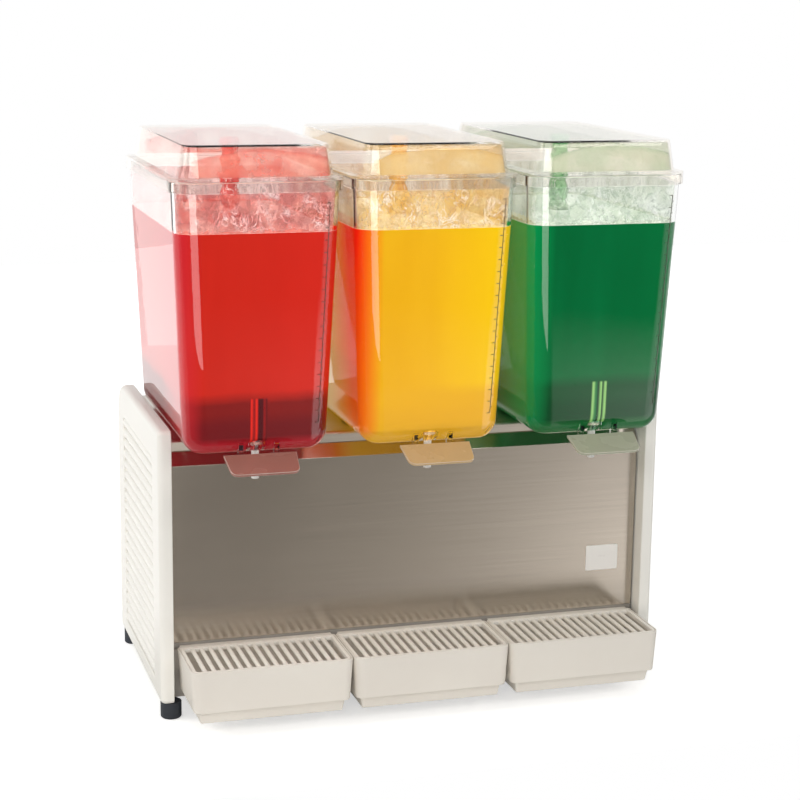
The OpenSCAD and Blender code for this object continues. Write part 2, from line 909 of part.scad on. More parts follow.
module compressor_mounts() {
  color(black_rubber)
    for (x = [-1, 1], y = [-1, 1])
      translate([compressor_x + x * mount_off, compressor_y + y * mount_off, pan_top])
        cylinder(d = mount_d, h = mount_h);
}

module condenser() {
  fin_pitch = (condenser_d - fin_t) / (fin_n - 1);
  coil_pitch = condenser_h / coil_n;
  color("silver")
    translate([condenser_x, compressor_y - condenser_d / 2, pan_top]) {
      for (i = [0:fin_n - 1])
        translate([0, i * fin_pitch, 0])
          cube([condenser_t, fin_t, condenser_h]);
      for (i = [0:coil_n - 1])
        translate([condenser_t / 2, 0, (i + 0.5) * coil_pitch])
          rotate([-90, 0, 0])
            cylinder(d = coil_d, h = condenser_d);
    }
}

// Fan motor on an upright bracket, with its shaft towards the condenser
module fan_motor() {
  bracket_w = fan_motor_d;
  color(painted_steel)
    translate([shaft_x, compressor_y, 0]) {
      translate([0, 0, fan_z])
        rotate([0, 90, 0])
          cylinder(d = fan_motor_d, h = fan_motor_l);
      translate([-fan_hub_w - spin_gap, 0, fan_z])
        rotate([0, 90, 0])
          cylinder(d = fan_shaft_d, h = fan_hub_w + spin_gap + over);
      translate([fan_motor_l / 2, -bracket_w / 2, pan_top])
        cube([sheet_t, bracket_w, fan_z - pan_top]);
      translate([fan_motor_l / 2, -bracket_w / 2, pan_top])
        cube([fan_motor_l / 2, bracket_w, sheet_t]);
    }
}

module fan_blade() {
  blade_l = (fan_d - fan_hub_d) / 2;
  blade_w = fan_hub_w / sin(fan_pitch) - 2 * sheet_t;
  color("dimgray")
    translate([fan_x, compressor_y, fan_z])
      rotate([0, 90, 0])
        difference() {
          union() {
            cylinder(d = fan_hub_d, h = fan_hub_w, center = true);
            for (i = [0:fan_blade_n - 1])
              rotate([0, 0, i * 360 / fan_blade_n])
                translate([fan_hub_d / 2 - over, 0, 0])
                  rotate([90 - fan_pitch, 0, 0])
                    translate([0, -sheet_t / 2, -blade_w / 2])
                      cube([blade_l, sheet_t, blade_w]);
          }
          cylinder(d = fan_shaft_d + 2 * shaft_fit, h = fan_hub_w + 2 * over, center = true);
        }
}

// A pipe of straight runs with round elbows along a list of points
module pipe(points, d) {
  for (i = [0:len(points) - 2])
    run(points[i], points[i + 1], d);
  for (i = [1:len(points) - 2])
    translate(points[i])
      sphere(d = d);
}

module run(a, b, d) {
  v = b - a;
  translate(a)
    rotate([0, acos(v.z / norm(v)), atan2(v.y, v.x)])
      cylinder(d = d, h = norm(v));
}

// Discharge line to the condenser and suction line from the cooling cylinders
module refrigerant_lines() {
  top = compressor_z + compressor_h;
  high = top + line_rise;
  discharge_x = compressor_x - compressor_d / 6;
  suction_x = compressor_x + compressor_d / 6;
  head_x = condenser_x + condenser_t / 2;
  head_z = pan_top + condenser_h;
  end_x = station_pitch - motor_d / 2 - line_d;
  color(copper) {
    pipe([
      [discharge_x, compressor_y, top], [discharge_x, compressor_y, high],
      [head_x, compressor_y, high], [head_x, compressor_y, head_z]
    ], line_d);
    pipe([
      [suction_x, compressor_y, top], [suction_x, compressor_y, high],
      [end_x, bowl_y, high], [end_x, bowl_y, motor_top]
    ], line_d);
  }
}

// Cooling cylinders and pumps

// Round flange under the deck, cut flat behind the splash panel's fold
module flange(h) {
  r = evap_d / 2 + evap_flange;
  reach = bowl_y - splash_y - bevel - sheet_t - flange_fit;
  intersection() {
    cylinder(r = r, h = h);
    translate([-r, -reach, 0])
      cube([2 * r, reach + r, h]);
  }
}

module evaporator(s) {
  r = evap_d / 2;
  flange_z = -sheet_t - evap_wall;
  inner_r = r - evap_wall;
  color(stainless)
    at_station(s) {
      difference() {
        union() {
          translate([0, 0, flange_z])
            rotate_extrude() {
              square([r - evap_round, evap_h - flange_z]);
              square([r, evap_h - flange_z - evap_round]);
              translate([r - evap_round, evap_h - flange_z - evap_round])
                circle(evap_round);
            }
          translate([0, 0, flange_z])
            flange(evap_wall);
        }
        translate([0, 0, flange_z - over])
          cylinder(r = inner_r, h = evap_h - flange_z - evap_round + over);
        translate([0, 0, evap_h - evap_round - over])
          cylinder(r = r - evap_round, h = evap_round - evap_wall + over);
      }
      translate([0, 0, evap_h - evap_wall])
        cylinder(d = post_d, h = evap_wall + spin_gap + impeller_h);
    }
}

module bowl_gaskets() {
  color(black_rubber)
    for (s = STATIONS)
      at_station(s)
        ring(evap_d + 2 * gasket_t, evap_d + seat_fit, floor_top + gasket_rise);
}

// Three motors hang under the cooling cylinders' flanges
module pump_motors() {
  color(painted_steel)
    for (s = STATIONS)
      translate([s * station_pitch, bowl_y, motor_top])
        difference() {
          union() {
            flange(motor_flange_t);
            translate([0, 0, -motor_h])
              cylinder(d = motor_d, h = motor_h + over);
          }
          translate([0, 0, motor_flange_t - shaft_in])
            cylinder(d = shaft_d + 2 * shaft_fit, h = shaft_in + over);
        }
}

// A shaft up through the cooling cylinder with a magnet just under the cylinder's top
module drive_magnet(s) {
  top = evap_h - evap_wall - spin_gap;
  low = motor_top + motor_flange_t - shaft_in + spin_gap - deck_top;
  color("slategray")
    at_station(s) {
      translate([0, 0, low])
        cylinder(d = shaft_d, h = top - low - magnet_t / 2);
      translate([0, 0, top - magnet_t])
        cylinder(d = magnet_d, h = magnet_t);
    }
}

module impeller(s) {
  hub_d = post_d + 2 * hub_wall;
  color("gold")
    at_station(s)
      translate([0, 0, evap_h + spin_gap])
        difference() {
          union() {
            cylinder(d = impeller_d, h = disc_t);
            cylinder(d = hub_d, h = impeller_h);
            for (i = [0:blade_n - 1])
              rotate([0, 0, i * 360 / blade_n])
                translate([hub_d / 2 - over, -blade_t / 2, disc_t - over])
                  cube([(impeller_d - hub_d) / 2 - over, blade_t, impeller_h - disc_t]);
          }
          translate([0, 0, -over])
            cylinder(d = post_d + 2 * shaft_fit, h = impeller_h + 2 * over);
        }
}

// An inverted cup over the impeller, with four inlets at its foot and a socket for the spray tube
module pump_cover(s) {
  color(white_plastic)
    at_station(s)
      translate([0, 0, evap_h])
        difference() {
          union() {
            cylinder(d = cover_d, h = cover_h);
            translate([0, 0, cover_h - over])
              cylinder(d = tube_d + 2 * (socket_wall + seat_fit), h = socket_h + over);
          }
          translate([0, 0, -over])
            cylinder(d = cover_d - 2 * cover_wall, h = cover_h - cover_wall + over);
          cylinder(d = tube_bore, h = cover_h + over);
          translate([0, 0, cover_h])
            cylinder(d = tube_d + seat_fit, h = socket_h + over);
          for (a = [45:90:315])
            rotate([0, 0, a])
              translate([0, -inlet_w / 2, -over])
                cube([cover_d, inlet_w, inlet_h + over]);
        }
}

module spray_tube(s) {
  low = evap_h + cover_h;
  color(clear_plastic)
    at_station(s)
      translate([0, 0, low])
        ring(tube_d, tube_bore, bowl_h + tube_rise - low);
}

// Bowls, lids and valves

// A block with leaning walls, round upright corners and a round base edge
module bowl_block(inset, low, high) {
  r = bowl_round - inset;
  corner_w = bowl_w / 2 - bowl_round;
  corner_d = bowl_d / 2 - bowl_round;
  hull()
    for (x = [-1, 1], y = [-1, 1]) {
      translate([x * (corner_w - bowl_lean), y * (corner_d - bowl_lean), low + r])
        sphere(r, $fn = hull_fn);
      translate([x * corner_w, y * corner_d, high - over])
        cylinder(r = r, h = over, $fn = hull_fn);
    }
}

module bowl(s) {
  pocket_in = bowl_round + foot_ring_w;
  lug_top = pin_drop + floor_top + seat_rise + bowl_wall;
  color(clear_plastic)
    at_station(s)
      difference() {
        union() {
          difference() {
            union() {
              bowl_block(0, 0, bowl_h);
              translate([0, 0, bowl_h - rim_h])
                linear_extrude(rim_h)
                  rounded_rect(bowl_w + 2 * rim_out, bowl_d + 2 * rim_out, bowl_round + rim_out);
            }
            bowl_block(bowl_wall, floor_top, bowl_h + 2 * over);
            translate([0, 0, -over])
              linear_extrude(floor_rise + over)
                rounded_rect(2 * (base_half_w - pocket_in), 2 * (base_half_d - pocket_in), foot_ring_w);
          }
          translate([0, 0, floor_rise])
            cylinder(d = hole_d + 2 * collar_wall, h = bowl_floor + gasket_rise);
          translate([0, valve_y, 0])
            cylinder(d = seat_d, h = seat_z);
          for (x = [-lug_x - lug_t, lug_x]) {
            translate([x, pin_y - hub_r, pin_z])
              cube([lug_t, 2 * hub_r, lug_top]);
            translate([x, pin_y, pin_z])
              rotate([0, 90, 0])
                cylinder(r = hub_r, h = lug_t);
          }
        }
        translate([0, 0, -over])
          cylinder(d = hole_d, h = bowl_h / 2);
        translate([0, valve_y, -over])
          cylinder(d = outlet_d, h = seat_z + 2 * over);
        translate([0, valve_y, seat_z])
          cylinder(d = plunger_d + 2 * plunger_room, h = plunger_h);
        translate([-lug_x - lug_t - over, pin_y, pin_z])
          rotate([0, 90, 0])
            cylinder(d = pin_d, h = 2 * (lug_x + lug_t + over));
      }
}

// A block that stands on the flange and leans in on all sides
module dome_block(inset, low, high) {
  foot_w = lid_w / 2 - ledge_w - dome_round;
  foot_d = lid_d / 2 - ledge_d - dome_round;
  top_w = lid_w / 2 - ledge_w - dome_lean - dome_top_round;
  top_d = lid_d / 2 - ledge_d - dome_lean - dome_top_round;
  hull()
    for (x = [-1, 1], y = [-1, 1]) {
      translate([x * foot_w, y * foot_d, low])
        cylinder(r = dome_round - inset, h = over, $fn = hull_fn);
      translate([x * top_w, y * top_d, high - over])
        cylinder(r = dome_top_round - inset, h = over, $fn = hull_fn);
    }
}

module lid(s) {
  round_out = bowl_round + rim_out + lid_fit;
  color(clear_plastic)
    at_station(s)
      translate([0, 0, bowl_h])
        difference() {
          union() {
            translate([0, 0, -skirt_h])
              linear_extrude(skirt_h + flange_t)
                rounded_rect(lid_w, lid_d, round_out + skirt_t);
            dome_block(0, over, flange_t + dome_h);
          }
          translate([0, 0, -skirt_h - over])
            linear_extrude(skirt_h + over)
              rounded_rect(lid_w - 2 * skirt_t, lid_d - 2 * skirt_t, round_out);
          dome_block(dome_wall, -over, flange_t + dome_h - dome_wall);
        }
}

// Outline of a push plate, rear edge on y = 0, narrower towards its front, with round front corners
function plate_corner(side) = [
  for (i = [0:6])
    let (a = 90 * i / 6, w = (plate_w - plate_taper) / 2 - plate_round, y = plate_round - plate_l)
      [side * (w + plate_round * sin(side > 0 ? 90 - a : a)), y - plate_round * cos(side > 0 ? 90 - a : a)]
];

module push_plate() {
  translate([0, pin_y - plate_out, pin_z + plate_up])
    rotate([plate_slope, 0, 0])
      translate([0, 0, -plate_t])
        linear_extrude(plate_t)
          polygon(concat([[-plate_w / 2, 0], [plate_w / 2, 0]], plate_corner(1), plate_corner(-1)));
}

module lever(s) {
  edge_y = pin_y - plate_out;
  edge_z = pin_z + plate_up;
  stem_room = stem_d / 2 + prong_gap;
  color(clear_plastic)
    at_station(s)
      difference() {
        union() {
          push_plate();
          across(hub_w)
            polygon([
              [edge_y - plate_t, edge_z - plate_t], [edge_y, edge_z],
              [pin_y + hub_r / 2, pin_z + hub_r / 2], [pin_y - hub_r / 2, pin_z - hub_r / 2]
            ]);
          translate([0, pin_y, pin_z])
            rotate([0, 90, 0])
              cylinder(r = hub_r, h = hub_w, center = true);
          for (x = [-stem_room - prong_w, stem_room]) {
            translate([x, pin_y, pin_z - fork_r])
              cube([prong_w, lever_back, 2 * fork_r]);
            translate([x, valve_y, pin_z])
              rotate([0, 90, 0])
                cylinder(r = fork_r, h = prong_w);
          }
        }
        translate([0, pin_y, pin_z])
          rotate([0, 90, 0])
            cylinder(d = pin_bore, h = hub_w + 2 * over, center = true);
      }
}

module lever_pin(s) {
  color("silver")
    at_station(s)
      translate([0, pin_y, pin_z])
        rotate([0, 90, 0])
          cylinder(d = pin_d, h = 2 * (lug_x + lug_t), center = true);
}

module valve_plunger(s) {
  color(white_plastic)
    at_station(s)
      translate([0, valve_y, 0])
        difference() {
          union() {
            translate([0, 0, shoulder_z])
              rotate_extrude() {
                square([plunger_d / 2 - plunger_round, plunger_h]);
                square([plunger_d / 2, plunger_h - plunger_round]);
                translate([plunger_d / 2 - plunger_round, plunger_h - plunger_round])
                  circle(plunger_round);
              }
            translate([0, 0, -stem_drop])
              cylinder(d = stem_d, h = stem_drop + shoulder_z + over);
            translate([0, 0, collar_z])
              cylinder(d = collar_d, h = collar_t);
          }
          translate([0, 0, -stem_drop - over])
            cylinder(d = stem_bore, h = stem_drop + over);
        }
}

module valve_seal(s) {
  color(black_rubber)
    at_station(s)
      translate([0, valve_y, seat_z + seal_gap])
        ring(plunger_d - 2 * seal_in, stem_d, seal_t);
}

// Drip trays

tray_pitch = (inner_w - 2 * tray_room) / 3;
tray_w = tray_pitch - tray_gap;
tray_wall_y = splash_y - rail_out - rail_gap;
tray_body_d = tray_wall_y - tray_front_y;
recess_in = tray_wall;
cavity_in = tray_wall + tray_ledge;

module at_tray(s) {
  translate([s * tray_pitch, tray_wall_y, 0])
    children();
}

// Plan of a tray, rear edge on y = 0, drawn in from its sides and front, with round corners
module tray_plan(inset, rear_inset, r, rear_r) {
  w = tray_w / 2 - inset;
  d = tray_body_d - inset;
  translate([-w + r, -d])
    square([2 * (w - r), d - rear_inset - rear_r]);
  translate([-w, -d + r])
    square([2 * w, d - r - rear_inset - rear_r]);
  translate([-w + rear_r, -rear_inset - 2 * rear_r])
    square([2 * (w - rear_r), 2 * rear_r]);
  for (x = [-1, 1]) {
    translate([x * (w - r), -d + r])
      circle(r);
    translate([x * (w - rear_r), -rear_inset - rear_r])
      circle(rear_r);
  }
}

// A tier of a tray, drawn in from one plan at its bottom to another at its top
module tray_tier(low, high, low_inset, high_inset, rear_inset) {
  hull() {
    translate([0, 0, low])
      linear_extrude(over)
        tray_plan(low_inset, rear_inset, tray_round, tray_rear_round, $fn = hull_fn);
    translate([0, 0, high - over])
      linear_extrude(over)
        tray_plan(high_inset, rear_inset, tray_round, tray_rear_round, $fn = hull_fn);
  }
}

module drip_tray(s) {
  bottom = tray_low - tray_base_h;
  seat = tray_top - grille_t;
  lip_t = rail_out - sheet_t - tray_back_gap - 2 * rail_gap;
  hook_d = tray_back_y - tray_wall_y;
  color(white_plastic)
    at_tray(s)
      difference() {
        union() {
          tray_tier(tray_low, tray_top, tray_lean, 0, 0);
          tray_tier(bottom, tray_low + over, tray_base_in + tray_lean, tray_base_in, tray_base_in);
          translate([-tray_w / 2 + tray_rear_round, -tray_wall, tray_top - hook_t])
            cube([tray_w - 2 * tray_rear_round, hook_d + tray_wall, hook_t]);
          translate([-tray_w / 2 + tray_rear_round, hook_d - lip_t, tray_top - hook_drop])
            cube([tray_w - 2 * tray_rear_round, lip_t, hook_drop]);
        }
        translate([0, 0, seat])
          linear_extrude(grille_t + over)
            tray_plan(recess_in, tray_wall, tray_round - recess_in, tray_rear_round - recess_in);
        tray_tier(tray_low + tray_wall, seat + over, cavity_in + tray_lean, cavity_in, cavity_in);
        translate([0, 0, bottom + tray_wall])
          linear_extrude(tray_base_h + over)
            tray_plan(
              tray_base_in + tray_lean + tray_wall, tray_base_in + tray_wall, tray_round, tray_rear_round
            );
      }
}

module tray_grille(s) {
  inset = recess_in + grille_fit;
  w = tray_w - 2 * inset;
  d = tray_body_d - inset - tray_wall - grille_fit;
  pitch = (w - 2 * grille_side) / slot_n;
  slot_d = d - grille_front - grille_rear;
  color(white_plastic)
    at_tray(s)
      difference() {
        translate([0, 0, tray_top - grille_t])
          linear_extrude(grille_t - grille_fit / 2)
            tray_plan(inset, tray_wall + grille_fit, tray_round - inset, tray_rear_round - recess_in);
        for (i = [0:slot_n - 1])
          translate([
            -w / 2 + grille_side + i * pitch + (pitch - slot_w) / 2,
            -tray_body_d + inset + grille_front,
            tray_top - grille_t - over
          ])
            cube([slot_w, slot_d, grille_t + 2 * over]);
      }
}

base_pan();
left_side_panel();
right_side_panel();
splash_panel();
top_deck();
rear_panel();
feet();
panel_screws();
tray_rail();
cord_gland();
control_box();
power_switch();
thermostat_knob();
compressor();
compressor_mounts();
condenser();
fan_motor();
fan_blade();
refrigerant_lines();
pump_motors();
bowl_gaskets();
evaporator(LEFT);  // left_evaporator
evaporator(CENTER);  // center_evaporator
evaporator(RIGHT);  // right_evaporator
drive_magnet(LEFT);  // left_drive_magnet
drive_magnet(CENTER);  // center_drive_magnet
drive_magnet(RIGHT);  // right_drive_magnet
impeller(LEFT);  // left_impeller
impeller(CENTER);  // center_impeller
impeller(RIGHT);  // right_impeller
pump_cover(LEFT);  // left_pump_cover
pump_cover(CENTER);  // center_pump_cover
pump_cover(RIGHT);  // right_pump_cover
spray_tube(LEFT);  // left_spray_tube
spray_tube(CENTER);  // center_spray_tube
spray_tube(RIGHT);  // right_spray_tube
bowl(LEFT);  // left_bowl
bowl(CENTER);  // center_bowl
bowl(RIGHT);  // right_bowl
lid(LEFT);  // left_lid
lid(CENTER);  // center_lid
lid(RIGHT);  // right_lid
lever(LEFT);  // left_lever
lever(CENTER);  // center_lever
lever(RIGHT);  // right_lever
lever_pin(LEFT);  // left_lever_pin
lever_pin(CENTER);  // center_lever_pin
lever_pin(RIGHT);  // right_lever_pin
valve_plunger(LEFT);  // left_valve_plunger
valve_plunger(CENTER);  // center_valve_plunger
valve_plunger(RIGHT);  // right_valve_plunger
valve_seal(LEFT);  // left_valve_seal
valve_seal(CENTER);  // center_valve_seal
valve_seal(RIGHT);  // right_valve_seal
drip_tray(LEFT);  // left_drip_tray
drip_tray(CENTER);  // center_drip_tray
drip_tray(RIGHT);  // right_drip_tray
tray_grille(LEFT);  // left_tray_grille
tray_grille(CENTER);  // center_tray_grille
tray_grille(RIGHT);  // right_tray_grille
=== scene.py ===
# %% [markdown]
# # A counter-top cold drink dispenser
# Three clear bowls stand in a row on one refrigerated cabinet. A pump under each bowl lifts the drink
# up a tube and sprays it against the lid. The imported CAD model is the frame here: it fixes every place
# and every joint, and this lesson only gives its pieces the shapes and finishes that the eye looks for.

# %% Load the frame
import math

import bmesh
import bpy
from mathutils import Matrix, Vector


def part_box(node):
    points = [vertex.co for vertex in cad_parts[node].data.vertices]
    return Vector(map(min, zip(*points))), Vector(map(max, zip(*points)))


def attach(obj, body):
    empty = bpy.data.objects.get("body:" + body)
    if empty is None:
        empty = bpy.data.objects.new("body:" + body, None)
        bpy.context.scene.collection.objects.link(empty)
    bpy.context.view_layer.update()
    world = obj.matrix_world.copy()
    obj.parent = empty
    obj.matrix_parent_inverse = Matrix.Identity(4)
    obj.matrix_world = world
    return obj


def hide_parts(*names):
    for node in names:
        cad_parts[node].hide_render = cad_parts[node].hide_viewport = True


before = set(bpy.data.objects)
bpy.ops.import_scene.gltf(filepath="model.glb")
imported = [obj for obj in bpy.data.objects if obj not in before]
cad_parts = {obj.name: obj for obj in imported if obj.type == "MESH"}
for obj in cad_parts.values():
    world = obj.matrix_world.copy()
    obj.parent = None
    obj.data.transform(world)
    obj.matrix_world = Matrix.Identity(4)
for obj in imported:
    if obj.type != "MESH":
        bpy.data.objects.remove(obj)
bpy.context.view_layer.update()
scene = bpy.context.scene
scene.view_settings.view_transform = "Standard"
MM = 0.001
STATIONS = ("left", "center", "right")

# %% [markdown]
# ## Camera
# The viewing angle is found once by fitting known corners of the cabinet to where they are seen: a long
# lens from the front, a little to the left and above. A camera looks along its own -Z axis, so its
# matrix is written straight from the three directions right, up and back.

# %% Camera
CAMERA_SIDE, CAMERA_BACK, CAMERA_HEIGHT = -0.669, 2.1077, 0.8567
CAMERA_LENS = 86.1
YAW, PITCH, ROLL = (math.radians(angle) for angle in (17.05, 12.37, 0.76))
panel_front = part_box("left_side_panel")[0][1]
CAMERA_PLACE = Vector((CAMERA_SIDE, panel_front - CAMERA_BACK, CAMERA_HEIGHT))

forward = Vector((math.sin(YAW) * math.cos(PITCH), math.cos(YAW) * math.cos(PITCH), -math.sin(PITCH)))
level = Vector((math.cos(YAW), -math.sin(YAW), 0.0))
down = forward.cross(level)
across = math.cos(ROLL) * level - math.sin(ROLL) * down
upward = -(math.sin(ROLL) * level + math.cos(ROLL) * down)

camera_data = bpy.data.cameras.new("camera")
camera_data.lens = CAMERA_LENS
camera_data.sensor_width = 36.0
camera = bpy.data.objects.new("camera", camera_data)
camera.matrix_world = Matrix.Translation(CAMERA_PLACE) @ Matrix((across, upward, -forward)).transposed().to_4x4()
scene.collection.objects.link(camera)
scene.camera = camera
print("camera at", tuple(round(value, 3) for value in CAMERA_PLACE))

# %% [markdown]
# ## Node helpers
# A material is a small graph. Two helpers, one that puts a node down and one that makes a link, keep
# each graph readable. Colours are written as they look on screen, from 0 to 255, and turned into the
# linear values that the renderer works with.


# %% Node helpers
def paint(red, green, blue):
    """A colour as it looks on screen, as linear RGBA."""
    values = []
    for value in (red, green, blue):
        part = value / 255
        values.append(part / 12.92 if part <= 0.04045 else ((part + 0.055) / 1.055) ** 2.4)
    return (*values, 1.0)


def put(tree, kind, **settings):
    """Adds a node and sets its properties."""
    node = tree.nodes.new(kind)
    for name, value in settings.items():
        setattr(node, name, value)
    return node


def give(node, **values):
    """Sets a node's input values; a name's underscores stand for spaces."""
    for name, value in values.items():
        node.inputs[name.replace("_", " ")].default_value = value
    return node


def blend_colors(tree, factor, low, high):
    """A colour between low and high; each may be a value or another node's output."""
    node = put(tree, "ShaderNodeMix", data_type="RGBA")
    tree.links.new(factor, node.inputs[0])
    for socket, value in ((node.inputs[6], low), (node.inputs[7], high)):
        if isinstance(value, bpy.types.NodeSocket):
            tree.links.new(value, socket)
        else:
            socket.default_value = value
    return node.outputs[2]


def spread(tree, value, low, high, start=0.0, end=1.0):
    """Maps a value from the range start..end to low..high."""
    node = put(tree, "ShaderNodeMapRange")
    give(node, From_Min=start, From_Max=end, To_Min=low, To_Max=high)
    tree.links.new(value, node.inputs["Value"])
    return node.outputs["Result"]


def place(tree, scale=(1.0, 1.0, 1.0)):
    """Object coordinates, stretched."""
    spot = put(tree, "ShaderNodeTexCoord")
    stretch = put(tree, "ShaderNodeMapping")
    stretch.inputs["Scale"].default_value = scale
    tree.links.new(spot.outputs["Object"], stretch.inputs["Vector"])
    return stretch.outputs["Vector"]


def noise(tree, vector, scale, detail=4.0):
    """Noise between 0 and 1."""
    node = put(tree, "ShaderNodeTexNoise")
    give(node, Scale=scale, Detail=detail)
    tree.links.new(vector, node.inputs["Vector"])
    return node.outputs["Fac"]


def new_material(name):
    """An empty material with its Principled shader."""
    material = bpy.data.materials.new(name)
    material.use_nodes = True
    shader = material.node_tree.nodes["Principled BSDF"]
    return material, material.node_tree, shader


def add_bump(tree, height, shader, strength, distance=0.001):
    """Links a height to a shader's normal."""
    node = put(tree, "ShaderNodeBump")
    give(node, Strength=strength, Distance=distance)
    tree.links.new(height, node.inputs["Height"])
    tree.links.new(node.outputs["Normal"], shader.inputs["Normal"])


print("node helpers ready")

# %% [markdown]
# ## Studio
# The machine stands on a white floor in front of a white backdrop. Clear plastic and steel look like what
# they mirror, so the room matters as much as the lamps: the backdrop is white, the room in front is dim
# and grows lighter to the right. The light path node lets camera, mirror and glass rays see that room,
# while plain light stays low. The floor glows for the same rays, so that it reads as white and still
# takes a shadow, and it ends a little in front of the trays, because the steel mirrors it.

# %% Room
WHITE = (1.0, 1.0, 1.0, 1.0)
ROOM_DARK, ROOM_DIM = (0.1, 0.095, 0.085, 1.0), (0.25, 0.23, 0.21, 1.0)
ROOM_HALF, ROOM_LIGHT = (0.8, 0.76, 0.7, 1.0), (2.9, 2.85, 2.78, 1.0)
ROOM_ABOVE, ROOM_SIDE = (0.85, 0.85, 0.83, 1.0), (1.6, 1.58, 1.55, 1.0)
AMBIENT = (0.36, 0.36, 0.36, 1.0)


def combine(tree, operation, first, second):
    """A math node on two values; the second may be a number."""
    node = put(tree, "ShaderNodeMath", operation=operation)
    tree.links.new(first, node.inputs[0])
    if isinstance(second, bpy.types.NodeSocket):
        tree.links.new(second, node.inputs[1])
    else:
        node.inputs[1].default_value = second
    return node.outputs[0]


def ray_kinds(tree):
    """Three masks: what the camera sees straight or through glass, what a surface mirrors, and either."""
    paths = put(tree, "ShaderNodeLightPath").outputs
    looked_at = combine(tree, "MAXIMUM", paths["Is Camera Ray"], paths["Is Transmission Ray"])
    return looked_at, paths["Is Glossy Ray"], combine(tree, "MAXIMUM", looked_at, paths["Is Glossy Ray"])


room = bpy.data.worlds.new("studio room")
scene.world = room
room.use_nodes = True
room_tree = room.node_tree
room_spot = put(room_tree, "ShaderNodeTexCoord")
room_axes = put(room_tree, "ShaderNodeSeparateXYZ")
room_tree.links.new(room_spot.outputs["Generated"], room_axes.inputs["Vector"])
room_middle = spread(room_tree, room_axes.outputs["X"], 0.0, 1.0, 0.16, 0.34)
room_right = spread(room_tree, room_axes.outputs["X"], 0.0, 1.0, 0.33, 0.46)
room_level = blend_colors(room_tree, room_middle, ROOM_DIM, ROOM_HALF)
room_level = blend_colors(room_tree, room_right, room_level, ROOM_LIGHT)
room_raised = spread(room_tree, room_axes.outputs["Z"], 0.0, 1.0, -0.28, -0.24)
room_side = spread(room_tree, room_axes.outputs["X"], 0.0, 1.0, 0.5, 0.7)
room_upper = blend_colors(room_tree, room_side, ROOM_DARK, ROOM_SIDE)
room_level = blend_colors(room_tree, room_raised, room_level, room_upper)
room_high = spread(room_tree, room_axes.outputs["Z"], 0.0, 1.0, 0.0, 0.25)
room_front = blend_colors(room_tree, room_high, room_level, ROOM_ABOVE)
room_back = spread(room_tree, room_axes.outputs["Y"], 0.0, 1.0, -0.25, 0.2)
mirrored = blend_colors(room_tree, room_back, room_front, WHITE)
room_seen, room_glossy, _ = ray_kinds(room_tree)
ambient = blend_colors(room_tree, room_glossy, AMBIENT, mirrored)
room_tree.links.new(blend_colors(room_tree, room_seen, ambient, WHITE), room_tree.nodes["Background"].inputs["Color"])
print("room with a white backdrop")

# %% Floor
FLOOR = (-3.0, -0.33, 3.0, 3.6)
FLOOR_GLOW, MIRROR_GLOW = 0.55, 0.95
BEHIND, FAR_OFF = (0.1, 0.3), (0.5, 2.5)
floor_mesh = bpy.data.meshes.new("floor")
left, near, right, far = FLOOR
floor_mesh.from_pydata([(left, near, 0), (right, near, 0), (right, far, 0), (left, far, 0)], [], [(0, 1, 2, 3)])
floor_material, floor_tree, floor_shader = new_material("white floor")
floor_mottle = noise(floor_tree, place(floor_tree), 3.0)
floor_color = blend_colors(floor_tree, floor_mottle, (0.86, 0.86, 0.85, 1.0), (0.9, 0.9, 0.89, 1.0))
floor_tree.links.new(floor_color, floor_shader.inputs["Base Color"])
give(floor_shader, Roughness=0.8, Specular_IOR_Level=0.2, Emission_Color=WHITE)
floor_seen, floor_glossy, _ = ray_kinds(floor_tree)
floor_axes = put(floor_tree, "ShaderNodeSeparateXYZ")
floor_tree.links.new(place(floor_tree), floor_axes.inputs["Vector"])
floor_behind = spread(floor_tree, floor_axes.outputs["Y"], 0.0, 1.0, *BEHIND)
floor_mirrored = combine(floor_tree, "MULTIPLY", combine(floor_tree, "MULTIPLY", floor_glossy, floor_behind), MIRROR_GLOW)
floor_far = spread(floor_tree, floor_axes.outputs["Y"], FLOOR_GLOW, 1.0, *FAR_OFF)
floor_shown = combine(floor_tree, "MULTIPLY", floor_seen, floor_far)
floor_lit = combine(floor_tree, "MAXIMUM", floor_shown, floor_mirrored)
floor_tree.links.new(floor_lit, floor_shader.inputs["Emission Strength"])
floor_mesh.materials.append(floor_material)
floor = bpy.data.objects.new("floor", floor_mesh)
scene.collection.objects.link(floor)
print("floor from y", near, "to", far)


# %% Lamps
def softbox(name, spot, target, size, power, tint=(1.0, 0.98, 0.95)):
    """A rectangular soft light that faces a target and that the camera itself doesn't see."""
    data = bpy.data.lights.new(name, "AREA")
    data.shape = "RECTANGLE"
    data.size, data.size_y = size
    data.energy = power
    data.color = tint
    lamp = bpy.data.objects.new(name, data)
    aim = Vector(target) - Vector(spot)
    lamp.matrix_world = Matrix.Translation(spot) @ aim.to_track_quat("-Z", "Y").to_matrix().to_4x4()
    lamp.visible_camera = False
    scene.collection.objects.link(lamp)
    print(name, "lamp", power, "W")


MIDDLE = (0.0, 0.0, 0.35)
softbox("overhead", (0.1, -0.3, 2.6), MIDDLE, (2.4, 1.8), 11.0)
softbox("right", (1.5, -2.0, 1.75), MIDDLE, (2.2, 0.35), 15.0)
softbox("left", (-1.15, -1.75, 1.15), MIDDLE, (1.9, 0.3), 9.5)
softbox("left side", (-2.1, 0.1, 1.4), MIDDLE, (1.0, 1.0), 14.0)
softbox("left rear", (-1.25, 1.75, 0.42), (-0.3, 0.0, 0.4), (1.5, 0.84), 1.6)
softbox("front strip", (-0.85, -2.3, 0.0), (-0.5, 0.0, 0.2), (1.5, 0.45), 11.0)

